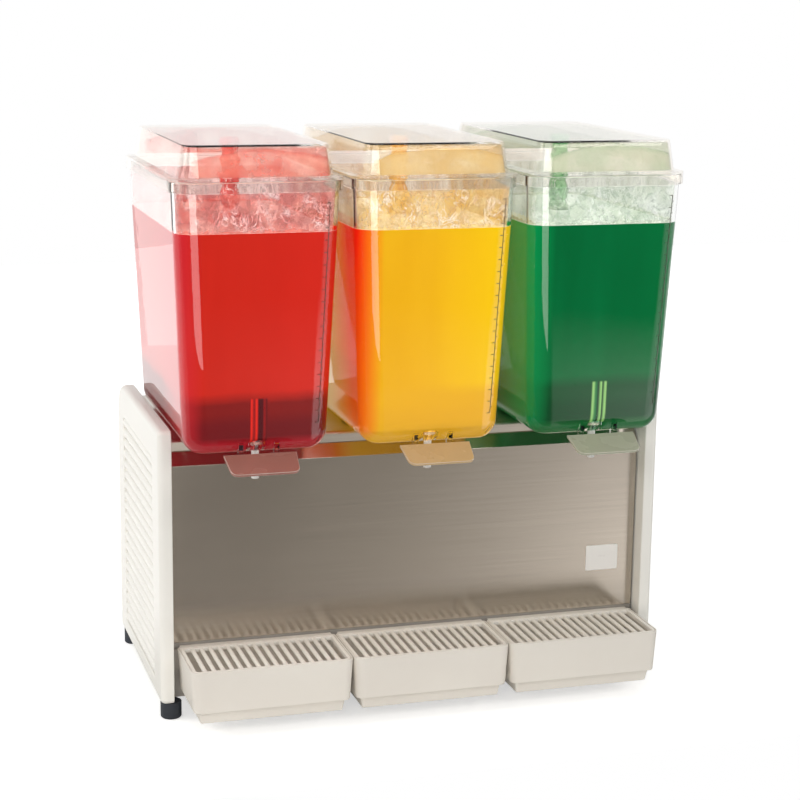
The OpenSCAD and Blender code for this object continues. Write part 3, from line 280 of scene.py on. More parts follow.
# %% [markdown]
# ## Mesh helpers
# Moulded bowls, lids and trays are stacks of rounded rectangles. Building one level outline after the
# other and skinning neighbours with quads gives clean walls and corners. Every outline has the same
# number of points, so a rectangle can also run into a circle, as a bowl's floor does at its middle hole.

# %% Outlines
CORNER_STEPS = 8


def rounded_loop(half_w, front, rear, near_radius, far_radius, z):
    """A level outline with straight sides and four round corners, in millimetres."""
    corners = (
        (half_w - near_radius, front + near_radius, near_radius, -90),
        (half_w - far_radius, rear - far_radius, far_radius, 0),
        (far_radius - half_w, rear - far_radius, far_radius, 90),
        (near_radius - half_w, front + near_radius, near_radius, 180),
    )
    points = []
    for x, y, radius, start in corners:
        for step in range(CORNER_STEPS + 1):
            angle = math.radians(start + 90 * step / CORNER_STEPS)
            points.append(Vector((x + radius * math.cos(angle), y + radius * math.sin(angle), z)))
    return points


def level_loop(half_w, half_d, radius, z):
    """A rounded rectangle about the middle."""
    return rounded_loop(half_w, -half_d, half_d, radius, radius, z)


def round_loop(radius, z):
    """A circle whose points pair up with those of a rounded rectangle."""
    points = []
    for corner in range(4):
        for step in range(CORNER_STEPS + 1):
            turn = -45 + 90 * corner + 90 * (step - CORNER_STEPS / 2) / (CORNER_STEPS + 1)
            angle = math.radians(turn)
            points.append(Vector((radius * math.cos(angle), radius * math.sin(angle), z)))
    return points


def between(first, second, share):
    """An outline part of the way from one to another."""
    return [a.lerp(b, share) for a, b in zip(first, second)]


def lay_on(loop, height):
    """Moves each point of an outline to a height that depends on its place."""
    return [Vector((point.x, point.y, height(point))) for point in loop]


def skin(mesh, loops, ring=False):
    """Joins outlines with quads. A ring closes on itself; otherwise both ends are capped."""
    rows = [[mesh.verts.new(point) for point in loop] for loop in loops]
    pairs = list(zip(rows, rows[1:]))
    if ring:
        pairs.append((rows[-1], rows[0]))
    else:
        mesh.faces.new(list(reversed(rows[0])))
        mesh.faces.new(rows[-1])
    for low, high in pairs:
        for index in range(len(low)):
            following = (index + 1) % len(low)
            mesh.faces.new((low[index], low[following], high[following], high[index]))


def prism(mesh, outline, low, high, axis):
    """Stretches a flat outline of (u, v) points along X, Y or Z."""
    order = {"X": lambda u, v, w: (w, u, v), "Y": lambda u, v, w: (u, w, v), "Z": lambda u, v, w: (u, v, w)}[axis]
    skin(mesh, [[Vector(order(u, v, w)) for u, v in outline] for w in (low, high)])


def disc_outline(radius, u=0.0, v=0.0, sides=32):
    """A circle as a flat outline."""
    turns = [2 * math.pi * index / sides for index in range(sides)]
    return [(u + radius * math.cos(turn), v + radius * math.sin(turn)) for turn in turns]


print("outline helpers ready")


# %% From outlines to pieces
def to_mesh(name, build, origin):
    """Runs a build function in millimetres about an origin and returns a plain mesh in metres."""
    work = bmesh.new()
    build(work)
    bmesh.ops.recalc_face_normals(work, faces=work.faces)
    bmesh.ops.transform(work, matrix=Matrix.Translation(origin) @ Matrix.Scale(MM, 4), verts=work.verts)
    mesh = bpy.data.meshes.new(name)
    work.to_mesh(mesh)
    work.free()
    return mesh


def carve(mesh, cutters, operation="DIFFERENCE"):
    """Cuts the cutters' space out of a mesh, or joins them to it with UNION."""
    body = bpy.data.objects.new("carve", mesh)
    scene.collection.objects.link(body)
    tools = []
    for cutter in cutters:
        tool = bpy.data.objects.new("cutter", cutter)
        scene.collection.objects.link(tool)
        cut = body.modifiers.new("cut", "BOOLEAN")
        cut.object = tool
        cut.operation = operation
        cut.solver = "EXACT"
        tools.append(tool)
    graph = bpy.context.evaluated_depsgraph_get()
    result = bpy.data.meshes.new_from_object(body.evaluated_get(graph))
    for item in (body, *tools):
        bpy.data.objects.remove(item)
    return result


def finish_piece(name, mesh, body, material, stands_for=(), sharp=38.0):
    """Gives a mesh its material and smooth faces, and sets it riding on a body."""
    mesh.name = name
    if material:
        mesh.materials.clear()
        mesh.materials.append(material)
    mesh.shade_smooth()
    mesh.set_sharp_from_angle(angle=math.radians(sharp))
    piece = bpy.data.objects.new(name, mesh)
    scene.collection.objects.link(piece)
    even = piece.modifiers.new("even", "WEIGHTED_NORMAL")
    even.keep_sharp = True
    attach(piece, body)
    if stands_for:
        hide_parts(*stands_for)
    return piece


def soft_copy(name, node, body, material, edge, sharp=30.0, segments=3):
    """A copy of a CAD node with its doubles merged, flat faces joined and edges rounded."""
    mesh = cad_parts[node].data.copy()
    work = bmesh.new()
    work.from_mesh(mesh)
    bmesh.ops.remove_doubles(work, verts=work.verts, dist=0.00002)
    bmesh.ops.dissolve_limit(work, angle_limit=math.radians(1.0), verts=work.verts, edges=work.edges)
    work.to_mesh(mesh)
    work.free()
    piece = finish_piece(name, mesh, body, material, (node,), sharp)
    rounding = piece.modifiers.new("rounding", "BEVEL")
    rounding.width = edge * MM
    rounding.segments = segments
    rounding.limit_method = "ANGLE"
    rounding.angle_limit = math.radians(sharp)
    rounding.harden_normals = False
    piece.modifiers.move(1, 0)
    return piece


print("piece helpers ready")

# %% [markdown]
# ## Repeats with Geometry Nodes
# Louvre bars, grille slats and measuring marks are rows of one shape. A small tree makes a line of points
# and sets a bar on each, so the number and the spacing are plain inputs. The result is realised and kept
# as an ordinary mesh, because instances don't survive an export.


# %% Trees
def new_tree(name, inputs):
    """A Geometry Nodes tree with named inputs; returns it with its input and output nodes."""
    tree = bpy.data.node_groups.new(name, "GeometryNodeTree")
    tree.interface.new_socket("Geometry", in_out="OUTPUT", socket_type="NodeSocketGeometry")
    for label, kind in inputs:
        tree.interface.new_socket(label, in_out="INPUT", socket_type="NodeSocket" + kind)
    return tree, put(tree, "NodeGroupInput"), put(tree, "NodeGroupOutput")


def finish_tree(tree, instances, entry, leave):
    """Realises instances, smooths them, sets their material and links the output."""
    real = put(tree, "GeometryNodeRealizeInstances")
    smooth = put(tree, "GeometryNodeSetShadeSmooth")
    coat = put(tree, "GeometryNodeSetMaterial")
    tree.links.new(instances, real.inputs["Geometry"])
    tree.links.new(real.outputs["Geometry"], smooth.inputs["Geometry"])
    tree.links.new(smooth.outputs["Geometry"], coat.inputs["Geometry"])
    tree.links.new(entry.outputs["Material"], coat.inputs["Material"])
    tree.links.new(coat.outputs["Geometry"], leave.inputs["Geometry"])


def grow(name, tree, values, source=None):
    """Runs a tree once and keeps the result as a plain mesh."""
    seed_mesh = source or bpy.data.meshes.new(name)
    holder = bpy.data.objects.new(name, seed_mesh)
    scene.collection.objects.link(holder)
    growth = holder.modifiers.new("growth", "NODES")
    growth.node_group = tree
    sockets = {item.name: item.identifier for item in tree.interface.items_tree if item.in_out == "INPUT"}
    for label, value in values.items():
        growth[sockets[label]] = value
    graph = bpy.context.evaluated_depsgraph_get()
    result = bpy.data.meshes.new_from_object(holder.evaluated_get(graph))
    holder.modifiers.remove(growth)
    bpy.data.objects.remove(holder)
    return result


bar_row, bar_in, bar_out = new_tree(
    "row of bars",
    (("Count", "Int"), ("Start", "Vector"), ("Step", "Vector"), ("Length", "Float"), ("Radius", "Float"),
     ("Turn", "Vector"), ("Flatten", "Vector"), ("Sides", "Int"), ("Material", "Material")),
)
bar_line = put(bar_row, "GeometryNodeMeshLine", mode="OFFSET")
bar_shape = put(bar_row, "GeometryNodeMeshCylinder", fill_type="NGON")
bar_turn = put(bar_row, "GeometryNodeTransform")
bar_set = put(bar_row, "GeometryNodeInstanceOnPoints")
for source, target in (
    (bar_in.outputs["Count"], bar_line.inputs["Count"]),
    (bar_in.outputs["Start"], bar_line.inputs["Start Location"]),
    (bar_in.outputs["Step"], bar_line.inputs["Offset"]),
    (bar_in.outputs["Sides"], bar_shape.inputs["Vertices"]),
    (bar_in.outputs["Radius"], bar_shape.inputs["Radius"]),
    (bar_in.outputs["Length"], bar_shape.inputs["Depth"]),
    (bar_shape.outputs["Mesh"], bar_turn.inputs["Geometry"]),
    (bar_in.outputs["Turn"], bar_turn.inputs["Rotation"]),
    (bar_line.outputs["Mesh"], bar_set.inputs["Points"]),
    (bar_turn.outputs["Geometry"], bar_set.inputs["Instance"]),
    (bar_in.outputs["Flatten"], bar_set.inputs["Scale"]),
):
    bar_row.links.new(source, target)
finish_tree(bar_row, bar_set.outputs["Instances"], bar_in, bar_out)

print("tree:", bar_row.name)

# %% [markdown]
# ## Finishes
# Several parts share an effect: moulded plastic, rubber and enamel all have a fine grain and a faint
# cloudiness, and sheet steel has long brush lines. Each effect is one node group with its own inputs,
# placed in every material that needs it.


# %% Shared effects
def new_effect(name, inputs, outputs):
    """A shader node group with value inputs; returns it with its input and output nodes."""
    tree = bpy.data.node_groups.new(name, "ShaderNodeTree")
    for label, value in inputs:
        socket = tree.interface.new_socket(label, in_out="INPUT", socket_type="NodeSocketFloat")
        socket.default_value = value
    for label, kind in outputs:
        tree.interface.new_socket(label, in_out="OUTPUT", socket_type=kind)
    return tree, put(tree, "NodeGroupInput"), put(tree, "NodeGroupOutput")


VALUE = "NodeSocketFloat"
grain_effect, grain_in, grain_out = new_effect(
    "moulded grain", (("Grain Scale", 900.0), ("Cloud Scale", 9.0)), (("Cloud", VALUE), ("Height", VALUE))
)
grain_place = place(grain_effect)
for label, source, detail, target in (
    ("grain", "Grain Scale", 2.0, "Height"),
    ("cloud", "Cloud Scale", 5.0, "Cloud"),
):
    texture = put(grain_effect, "ShaderNodeTexNoise", label=label)
    give(texture, Detail=detail)
    grain_effect.links.new(grain_place, texture.inputs["Vector"])
    grain_effect.links.new(grain_in.outputs[source], texture.inputs["Scale"])
    grain_effect.links.new(texture.outputs["Fac"], grain_out.inputs[target])

brush_effect, brush_in, brush_out = new_effect(
    "brush lines", (("Line Scale", 1.0), ("Smudge Scale", 7.0)), (("Lines", VALUE), ("Smudge", VALUE))
)
brush_lines = put(brush_effect, "ShaderNodeTexNoise")
give(brush_lines, Detail=3.0)
brush_effect.links.new(place(brush_effect, (5.0, 700.0, 700.0)), brush_lines.inputs["Vector"])
brush_effect.links.new(brush_in.outputs["Line Scale"], brush_lines.inputs["Scale"])
brush_effect.links.new(brush_lines.outputs["Fac"], brush_out.inputs["Lines"])
brush_smudge = put(brush_effect, "ShaderNodeTexNoise")
give(brush_smudge, Detail=4.0)
brush_effect.links.new(place(brush_effect), brush_smudge.inputs["Vector"])
brush_effect.links.new(brush_in.outputs["Smudge Scale"], brush_smudge.inputs["Scale"])
brush_effect.links.new(brush_smudge.outputs["Fac"], brush_out.inputs["Smudge"])
print("effects:", grain_effect.name, "and", brush_effect.name)


# %% Moulded, coated and brushed finishes
def moulded(name, dark, light, rough, bump, grain=900.0, cloud=9.0, metallic=0.0, specular=0.5):
    """Plastic, rubber, enamel or bare metal with grain and faint clouds of colour."""
    material, tree, shader = new_material(name)
    effect = put(tree, "ShaderNodeGroup", node_tree=grain_effect)
    give(effect, Grain_Scale=grain, Cloud_Scale=cloud)
    cloud_mask = spread(tree, effect.outputs["Cloud"], 0.0, 1.0, 0.3, 0.7)
    tree.links.new(blend_colors(tree, cloud_mask, dark, light), shader.inputs["Base Color"])
    tree.links.new(spread(tree, effect.outputs["Cloud"], *rough, 0.3, 0.7), shader.inputs["Roughness"])
    give(shader, Metallic=metallic, Specular_IOR_Level=specular)
    add_bump(tree, effect.outputs["Height"], shader, bump, 0.0004)
    return material


def brushed(name, dark, light, rough, bump=0.06, fan=0.0):
    """Sheet steel brushed from side to side; fan spreads what an upright sheet mirrors up and down."""
    material, tree, shader = new_material(name)
    if fan:
        upright = put(tree, "ShaderNodeCombineXYZ")
        give(upright, Z=1.0)
        tree.links.new(upright.outputs[0], shader.inputs["Tangent"])
        give(shader, Anisotropic=fan)
    effect = put(tree, "ShaderNodeGroup", node_tree=brush_effect)
    lines = spread(tree, effect.outputs["Lines"], 0.0, 1.0, 0.3, 0.7)
    tree.links.new(blend_colors(tree, lines, dark, light), shader.inputs["Base Color"])
    tree.links.new(spread(tree, effect.outputs["Smudge"], *rough, 0.3, 0.7), shader.inputs["Roughness"])
    give(shader, Metallic=1.0)
    add_bump(tree, effect.outputs["Lines"], shader, bump, 0.0002)
    return material


white_plastic = moulded("white plastic", paint(228, 222, 213), paint(234, 229, 220), (0.36, 0.46), 0.08)
# Painted light: a lighter copy of the white plastic for the well lit side panels.
lit_panel_white = moulded("panel plastic with painted light", paint(240, 238, 231), paint(246, 244, 238), (0.34, 0.44), 0.06)
stainless = brushed("brushed stainless", paint(192, 183, 172), paint(200, 191, 181), (0.26, 0.34), 0.02)
splash_steel = brushed("brushed splash", paint(190, 181, 170), paint(196, 187, 176), (0.2, 0.23), 0.01, 0.6)
painted_steel = moulded("dark powder coat", paint(58, 58, 60), paint(72, 72, 75), (0.5, 0.65), 0.25, grain=500.0)
rail_grey = moulded("grey powder coat", paint(158, 152, 144), paint(172, 166, 158), (0.45, 0.6), 0.2, grain=500.0)
# Painted light: a lighter copy of the white plastic for the front-lit grille bars.
lit_grille_white = moulded("grille plastic with painted light", paint(250, 245, 236), paint(253, 249, 242), (0.36, 0.46), 0.06)
# Painted shade: the white inside of a tray is painted dark for the shade under its grille.
tray_shade = moulded("tray inside painted shade", paint(84, 79, 73), paint(104, 98, 91), (0.3, 0.45), 0.05)
rubber = moulded("foot rubber", paint(38, 42, 50), paint(56, 61, 70), (0.6, 0.8), 0.2)
black_plastic = moulded("matte black plastic", paint(20, 20, 22), paint(34, 34, 37), (0.5, 0.65), 0.15)
enamel = moulded("black enamel", paint(14, 14, 15), paint(26, 26, 28), (0.18, 0.35), 0.03)
copper = moulded("drawn copper", paint(150, 92, 62), paint(205, 136, 100), (0.25, 0.5), 0.05, cloud=30.0, metallic=1.0)
fins = moulded("thin fins", paint(170, 172, 176), paint(205, 207, 210), (0.3, 0.5), 0.06, cloud=25.0, metallic=1.0)
bright_steel = brushed("plated steel", paint(188, 188, 188), paint(222, 222, 222), (0.16, 0.28))
ferrite = moulded("ferrite and steel", paint(60, 60, 66), paint(92, 92, 98), (0.4, 0.6), 0.1, metallic=0.7)
switch_red = moulded("red rocker", paint(150, 20, 20), paint(180, 32, 28), (0.25, 0.35), 0.03)
valve_white = moulded("valve plastic", paint(214, 212, 205), paint(228, 226, 220), (0.3, 0.4), 0.04)
mark_ink = moulded("mark ink", paint(52, 46, 40), paint(74, 66, 54), (0.4, 0.5), 0.02)
lever_edge_highlight = moulded("lit lever edge", paint(216, 206, 196), paint(232, 226, 218), (0.2, 0.3), 0.02)
label_white = moulded("label plate",paint(236, 233, 228), paint(244, 241, 236), (0.25, 0.35), 0.02)
print("plain finishes ready")


# %% [markdown]
# ## Clear plastic
# The bowls and lids are thick clear polycarbonate. A glass shader bends and mirrors the room as the
# plastic does. Light that only passes through on its way to something else needs no bending, so shadow
# rays see a plain transparent shader, which keeps the inside of the bowls bright and free of noise.


# %% Clear finishes
def clear(name, tint, haze, ior, wave_scale, wave, coat=0.0):
    """Clear plastic with faint flow marks and slight haze; a thin wall bends little and shines by its coat."""
    material, tree, shader = new_material(name)
    give(shader, Coat_Weight=coat)
    waves = noise(tree, place(tree), wave_scale, 3.0)
    tree.links.new(spread(tree, waves, *haze, 0.3, 0.7), shader.inputs["Roughness"])
    give(shader, Base_Color=tint, IOR=ior, Transmission_Weight=1.0)
    add_bump(tree, waves, shader, wave, 0.002)
    paths = put(tree, "ShaderNodeLightPath")
    through = put(tree, "ShaderNodeBsdfTransparent")
    through.inputs["Color"].default_value = tint
    choose = put(tree, "ShaderNodeMixShader")
    tree.links.new(paths.outputs["Is Shadow Ray"], choose.inputs[0])
    tree.links.new(shader.outputs[0], choose.inputs[1])
    tree.links.new(through.outputs[0], choose.inputs[2])
    tree.links.new(choose.outputs[0], tree.nodes["Material Output"].inputs["Surface"])
    return material


bowl_clear = clear("clear bowl", (0.98, 0.985, 0.98, 1.0), (0.0, 0.03), 1.42, 14.0, 0.03)
lid_clear = clear("clear lid", (0.93, 0.9, 0.86, 1.0), (0.02, 0.07), 1.006, 18.0, 0.05, 0.75)
tube_clear = clear("spray tube", (0.95, 0.95, 0.93, 1.0), (0.05, 0.1), 1.4, 60.0, 0.05)
print("clear finishes ready")

# %% [markdown]
# ## Drinks
# A drink fills its bowl from wall to wall. It is painted darker low down as painted shade, with a painted lighter band
# along its rolled foot, it glows a little by painted light of its own colour, and it is pale with foam on top. The
# pump throws it against the lid, so a wet film clings to the lid's dome and to the bowl above the drink: rich streaks
# and pale froth that cover the clear wall in patches, with painted white glints.

# %% Drink finishes
LEVEL_Z = 0.584
DEEP_Z, DARK_Z, BASE_Z = 0.398, 0.374, 0.349
FADE = 0.007


def axes_of(tree):
    """Object coordinates as three values."""
    axes = put(tree, "ShaderNodeSeparateXYZ")
    tree.links.new(place(tree), axes.inputs["Vector"])
    return axes.outputs


def bands_across(tree, value, stops):
    """A colour ramp with soft steps; stops are pairs of place and colour."""
    bands = put(tree, "ShaderNodeValToRGB")
    ramp = bands.color_ramp
    ramp.interpolation = "EASE"
    while len(ramp.elements) < len(stops):
        ramp.elements.new(1.0)
    for element, (spot, tint) in zip(ramp.elements, stops):
        element.position = spot
        element.color = tint
    tree.links.new(value, bands.inputs["Fac"])
    return bands.outputs["Color"]


def drink_finish(name, side, body, light, deep, dark, foot, foam, near, far, valve):
    """A drink with faint upright streaks, painted darker in two steps of shade low down, with a painted lighter band
    along its rolled foot.

    near is a painted reflection that the neighbour on the left throws on it, far is its tint at the right, and valve
    holds the bands of painted light and shade that stand for the plunger behind the wall.
    """
    material, tree, shader = new_material(name)
    axes = axes_of(tree)
    height = axes["Z"]
    streaks = noise(tree, place(tree, (22.0, 22.0, 2.5)), 1.0)
    wall_x, wall_y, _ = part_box(side + "_bowl")[0]
    base = blend_colors(tree, spread(tree, streaks, 0.0, 1.0, 0.35, 0.65), body, light)
    base = blend_colors(tree, spread(tree, axes["X"], 0.0, 1.0, wall_x + FAR_FROM, wall_x + FAR_FULL), base, far)
    level = combine(tree, "ADD", height, spread(tree, noise(tree, place(tree), 16.0), -0.006, 0.006))
    # Painted shade: two darker steps low in the drink, then a painted lighter band along the rolled foot.
    for tint, edge in ((deep, DEEP_Z), (dark, DARK_Z)):
        base = blend_colors(tree, spread(tree, level, 0.0, 1.0, edge - FADE, edge + FADE), tint, base)
    base = blend_colors(tree, spread(tree, height, 0.0, 1.0, BASE_Z - FADE / 2, BASE_Z + FADE / 2), foot, base)
    # Painted reflection: the neighbour's tint on the left wall near the front.
    beside = spread(tree, axes["X"], 1.0, 0.0, wall_x + NEAR_FULL, wall_x + NEAR_GONE)
    ahead = spread(tree, axes["Y"], 1.0, 0.0, wall_y + AHEAD_FULL, wall_y + AHEAD_GONE)
    base = blend_colors(tree, combine(tree, "MULTIPLY", beside, ahead), base, near)
    # Painted light and shade: upright bands where the plunger stands behind the front wall.
    if valve:
        low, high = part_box(side + "_valve_plunger")
        middle_x = (low[0] + high[0]) / 2
        across = spread(tree, axes["X"], 0.0, 1.0, middle_x - VALVE_SPAN, middle_x + VALVE_SPAN)
        outer = combine(tree, "ABSOLUTE", spread(tree, across, -1.0, 1.0), 0.0)
        inner = spread(tree, outer, 1.0, 0.0, 0.9, 0.99)
        below = spread(tree, height, 1.0, 0.0, VALVE_TOP - 0.001, VALVE_TOP + 0.001)
        front = spread(tree, axes["Y"], 1.0, 0.0, low[1], low[1] + 0.004)
        mask = combine(tree, "MULTIPLY", combine(tree, "MULTIPLY", inner, below), front)
        base = blend_colors(tree, mask, base, bands_across(tree, across, valve))
    bubbles = put(tree, "ShaderNodeTexVoronoi")
    give(bubbles, Scale=260.0)
    tree.links.new(place(tree), bubbles.inputs["Vector"])
    froth = blend_colors(tree, spread(tree, bubbles.outputs["Distance"], 0.0, 1.0, 0.1, 0.7), WHITE, foam)
    top = spread(tree, height, 0.0, 1.0, LEVEL_Z - 0.0003, LEVEL_Z - 0.0001)
    seen = blend_colors(tree, top, base, froth)
    # Painted light: the drink glows with part of its own colour, standing in for light scattered through it, and its
    # base colour is dimmed to match.
    shade = put(tree, "ShaderNodeMix", data_type="RGBA")
    shade.inputs[0].default_value = GLOW
    tree.links.new(seen, shade.inputs[6])
    shade.inputs[7].default_value = (0.0, 0.0, 0.0, 1.0)
    tree.links.new(shade.outputs[2], shader.inputs["Base Color"])
    tree.links.new(seen, shader.inputs["Emission Color"])
    tree.links.new(spread(tree, streaks, 0.3, 0.4), shader.inputs["Roughness"])
    give(shader, Specular_IOR_Level=0.0, Emission_Strength=GLOW)
    return material


def streak_noise(tree, scale, distortion):
    """Warped noise, a little drawn out upwards."""
    warp = put(tree, "ShaderNodeTexNoise")
    give(warp, Scale=scale, Detail=5.0, Roughness=0.65, Distortion=distortion)
    tree.links.new(place(tree, (1.0, 1.0, 0.7)), warp.inputs["Vector"])
    return warp.outputs["Fac"]


def ridge(tree, value, width):
    """Thin lines where a noise crosses its middle."""
    away = combine(tree, "ABSOLUTE", combine(tree, "SUBTRACT", value, 0.5), 0.0)
    return spread(tree, away, 1.0, 0.0, 0.0, width)


def wet_finish(name, pale, middle, rich, cover, scale, froth_z=None):
    """A wet film: patches of pale and middle tint, thin rich streaks and painted white glints over clear plastic."""
    material, tree, shader = new_material(name)
    lumps = streak_noise(tree, scale, 0.8)
    glints = streak_noise(tree, scale * 0.8, 1.2)
    patches = spread(tree, noise(tree, place(tree), 24.0), 0.0, 1.0, 0.38, 0.62)
    clusters = spread(tree, noise(tree, place(tree), 40.0), 0.0, 1.0, 0.42, 0.6)
    lines = ridge(tree, lumps, 0.045)
    # Painted highlights: white glints along thin lines, in clusters.
    painted_glint = combine(tree, "MULTIPLY", ridge(tree, glints, 0.025), clusters)
    color = blend_colors(tree, patches, pale, middle)
    color = blend_colors(tree, lines, color, rich)
    color = blend_colors(tree, painted_glint, color, WHITE)
    strokes = spread(tree, combine(tree, "MAXIMUM", lines, painted_glint), 0.0, cover[1])
    alpha = combine(tree, "MAXIMUM", strokes, spread(tree, patches, *cover))
    if froth_z:
        rough_edge = combine(tree, "ADD", axes_of(tree)["Z"], spread(tree, lumps, -0.008, 0.008))
        froth = spread(tree, rough_edge, 1.0, 0.0, froth_z, froth_z + 0.006)
        color = blend_colors(tree, spread(tree, froth, 0.0, 0.7), color, pale)
        alpha = combine(tree, "MAXIMUM", alpha, spread(tree, froth, 0.0, 0.85))
    tree.links.new(color, shader.inputs["Base Color"])
    tree.links.new(alpha, shader.inputs["Alpha"])
    give(shader, Roughness=0.12, Specular_IOR_Level=0.4)
    add_bump(tree, lumps, shader, 0.8, 0.004)
    return material


# Share of a drink's colour that it gives off as painted glow.
GLOW = 0.5
NEAR_FULL, NEAR_GONE = 0.008, 0.034
AHEAD_FULL, AHEAD_GONE = 0.06, 0.16
FAR_FROM, FAR_FULL = 0.09, 0.175
VALVE_SPAN, VALVE_TOP = 0.0105, 0.3965
# Bands of painted light and shade for the plunger seen through the red and green drinks.
RED, RED_DARK, RED_MID = paint(226, 40, 30), paint(78, 16, 24), paint(140, 24, 26)
GREEN_PALE, GREEN_DARK, GREEN_MID = paint(150, 204, 120), paint(14, 66, 38), paint(40, 120, 66)
red_valve_shading = ((0.0, RED_DARK), (0.12, RED), (0.26, RED_MID), (0.4, RED), (0.52, RED_DARK), (0.7, RED_DARK),
             (0.82, RED_MID), (1.0, RED_DARK))
green_valve_shading = ((0.0, GREEN_DARK), (0.14, GREEN_PALE), (0.3, GREEN_MID), (0.44, GREEN_DARK), (0.62, GREEN_PALE),
               (0.7, GREEN_DARK), (0.86, GREEN_PALE), (1.0, GREEN_DARK))
drink_finishes = {
    "left": drink_finish("red drink", "left", paint(194, 38, 26), paint(200, 41, 29), paint(128, 25, 24),
                         paint(110, 20, 25), paint(166, 26, 38), paint(236, 178, 162), paint(196, 36, 46),
                         paint(204, 41, 30), red_valve_shading),
    "center": drink_finish("orange drink", "center", paint(228, 172, 26), paint(232, 179, 30), paint(228, 173, 34),
                           paint(226, 170, 37), paint(226, 171, 45), paint(246, 228, 172), paint(248, 34, 14),
                           paint(240, 196, 20), None),
    "right": drink_finish("green drink", "right", paint(0, 98, 50), paint(2, 107, 57), paint(6, 76, 38),
                          paint(4, 68, 34), paint(28, 104, 52), paint(208, 226, 206), paint(2, 148, 78),
                          paint(2, 106, 55), green_valve_shading),
}
wet_finishes = {
    "left": wet_finish("red wet wall", paint(226, 122, 106), paint(190, 62, 52), paint(140, 20, 24), (0.26, 0.6),
                       85.0, LEVEL_Z),
    "center": wet_finish("orange wet wall", paint(234, 202, 130), paint(216, 172, 80), paint(196, 138, 38), (0.24, 0.55),
                         85.0, LEVEL_Z),
    "right": wet_finish("green wet wall", paint(218, 224, 208), paint(184, 198, 172), paint(74, 118, 84), (0.1, 0.36),
                        85.0, LEVEL_Z),
}
stream_finishes = {
    "left": wet_finish("red stream", paint(232, 104, 92), paint(206, 44, 40), paint(170, 22, 26), (0.9, 1.0), 90.0),
    "center": wet_finish("orange stream", paint(246, 212, 130), paint(232, 174, 64), paint(214, 140, 30), (0.85, 1.0), 90.0),
    "right": wet_finish("green stream", paint(206, 228, 196), paint(136, 196, 140), paint(50, 130, 70), (0.5, 0.8), 90.0),
}
print("drinks:", ", ".join(item.name for item in drink_finishes.values()))


# %% Spray under the lids
def spray_finish(name, tint, rich, cover, middle_x, crest_z):
    """A film that the spray leaves on the dome, up to an arched edge that is a little richer."""
    material, tree, shader = new_material(name)
    axes = axes_of(tree)
    square = combine(tree, "POWER", combine(tree, "SUBTRACT", axes["X"], middle_x), 2.0)
    arch = combine(tree, "ADD", combine(tree, "MULTIPLY", square, ARCH_DROP / ARCH_HALF ** 2), axes["Z"])
    edge = combine(tree, "ADD", arch, spread(tree, noise(tree, place(tree), 60.0), -0.003, 0.003))
    above = spread(tree, edge, 0.0, 1.0, crest_z - 0.001, crest_z + 0.0015)
    rim = spread(tree, edge, 0.0, 1.0, crest_z - 0.005, crest_z)
    flow = streak_noise(tree, 55.0, 0.8)
    lines = ridge(tree, flow, 0.03)
    patches = spread(tree, noise(tree, place(tree), 26.0), 0.0, 1.0, 0.35, 0.65)
    color = blend_colors(tree, patches, tint, rich)
    color = blend_colors(tree, combine(tree, "MAXIMUM", rim, spread(tree, lines, 0.0, 0.6)), color, rich)
    tree.links.new(color, shader.inputs["Base Color"])
    wet = combine(tree, "MAXIMUM", spread(tree, patches, *cover), spread(tree, rim, 0.0, cover[1]))
    alpha = combine(tree, "MULTIPLY", wet, spread(tree, above, 1.0, DRY_COVER))
    ends = spread(tree, square, 1.0, END_COVER, ARCH_HALF ** 2, END_HALF ** 2)
    tree.links.new(combine(tree, "MULTIPLY", alpha, ends), shader.inputs["Alpha"])
    give(shader, Roughness=0.15, Specular_IOR_Level=0.4)
    add_bump(tree, flow, shader, 0.5, 0.003)
    return material


ARCH_DROP, ARCH_HALF, END_HALF = 0.011, 0.075, 0.083
DRY_COVER, END_COVER = 0.3, 0.15
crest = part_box("center_lid")[1][2] - 0.0065
spray_tints = {
    "left": (paint(226, 152, 134), paint(202, 84, 68), (0.28, 0.64)),
    "center": (paint(218, 196, 142), paint(198, 166, 98), (0.5, 0.75)),
    "right": (paint(198, 201, 184), paint(166, 182, 158), (0.5, 0.7)),
}
spray_finishes = {}
for side, (tint, rich, cover) in spray_tints.items():
    lid_low, lid_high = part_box(side + "_lid")
    middle_x = (lid_low[0] + lid_high[0]) / 2 + 0.008
    spray_finishes[side] = spray_finish(side + " spray film", tint, rich, cover, middle_x, crest)
print("spray films:", len(spray_finishes))


# %% Lever and plunger finishes
def frosted(name, tint, pale_tint):
    """Smoky clear plastic tinted with a painted reflection of its drink, mottled a little towards a paler tint."""
    material, tree, shader = new_material(name)
    mottle = noise(tree, place(tree), 25.0)
    tree.links.new(blend_colors(tree, spread(tree, mottle, 0.0, 0.4), tint, pale_tint), shader.inputs["Base Color"])
    tree.links.new(spread(tree, mottle, 0.22, 0.32), shader.inputs["Roughness"])
    tree.links.new(spread(tree, mottle, 0.86, 0.92), shader.inputs["Alpha"])
    give(shader, Specular_IOR_Level=0.5)
    return material


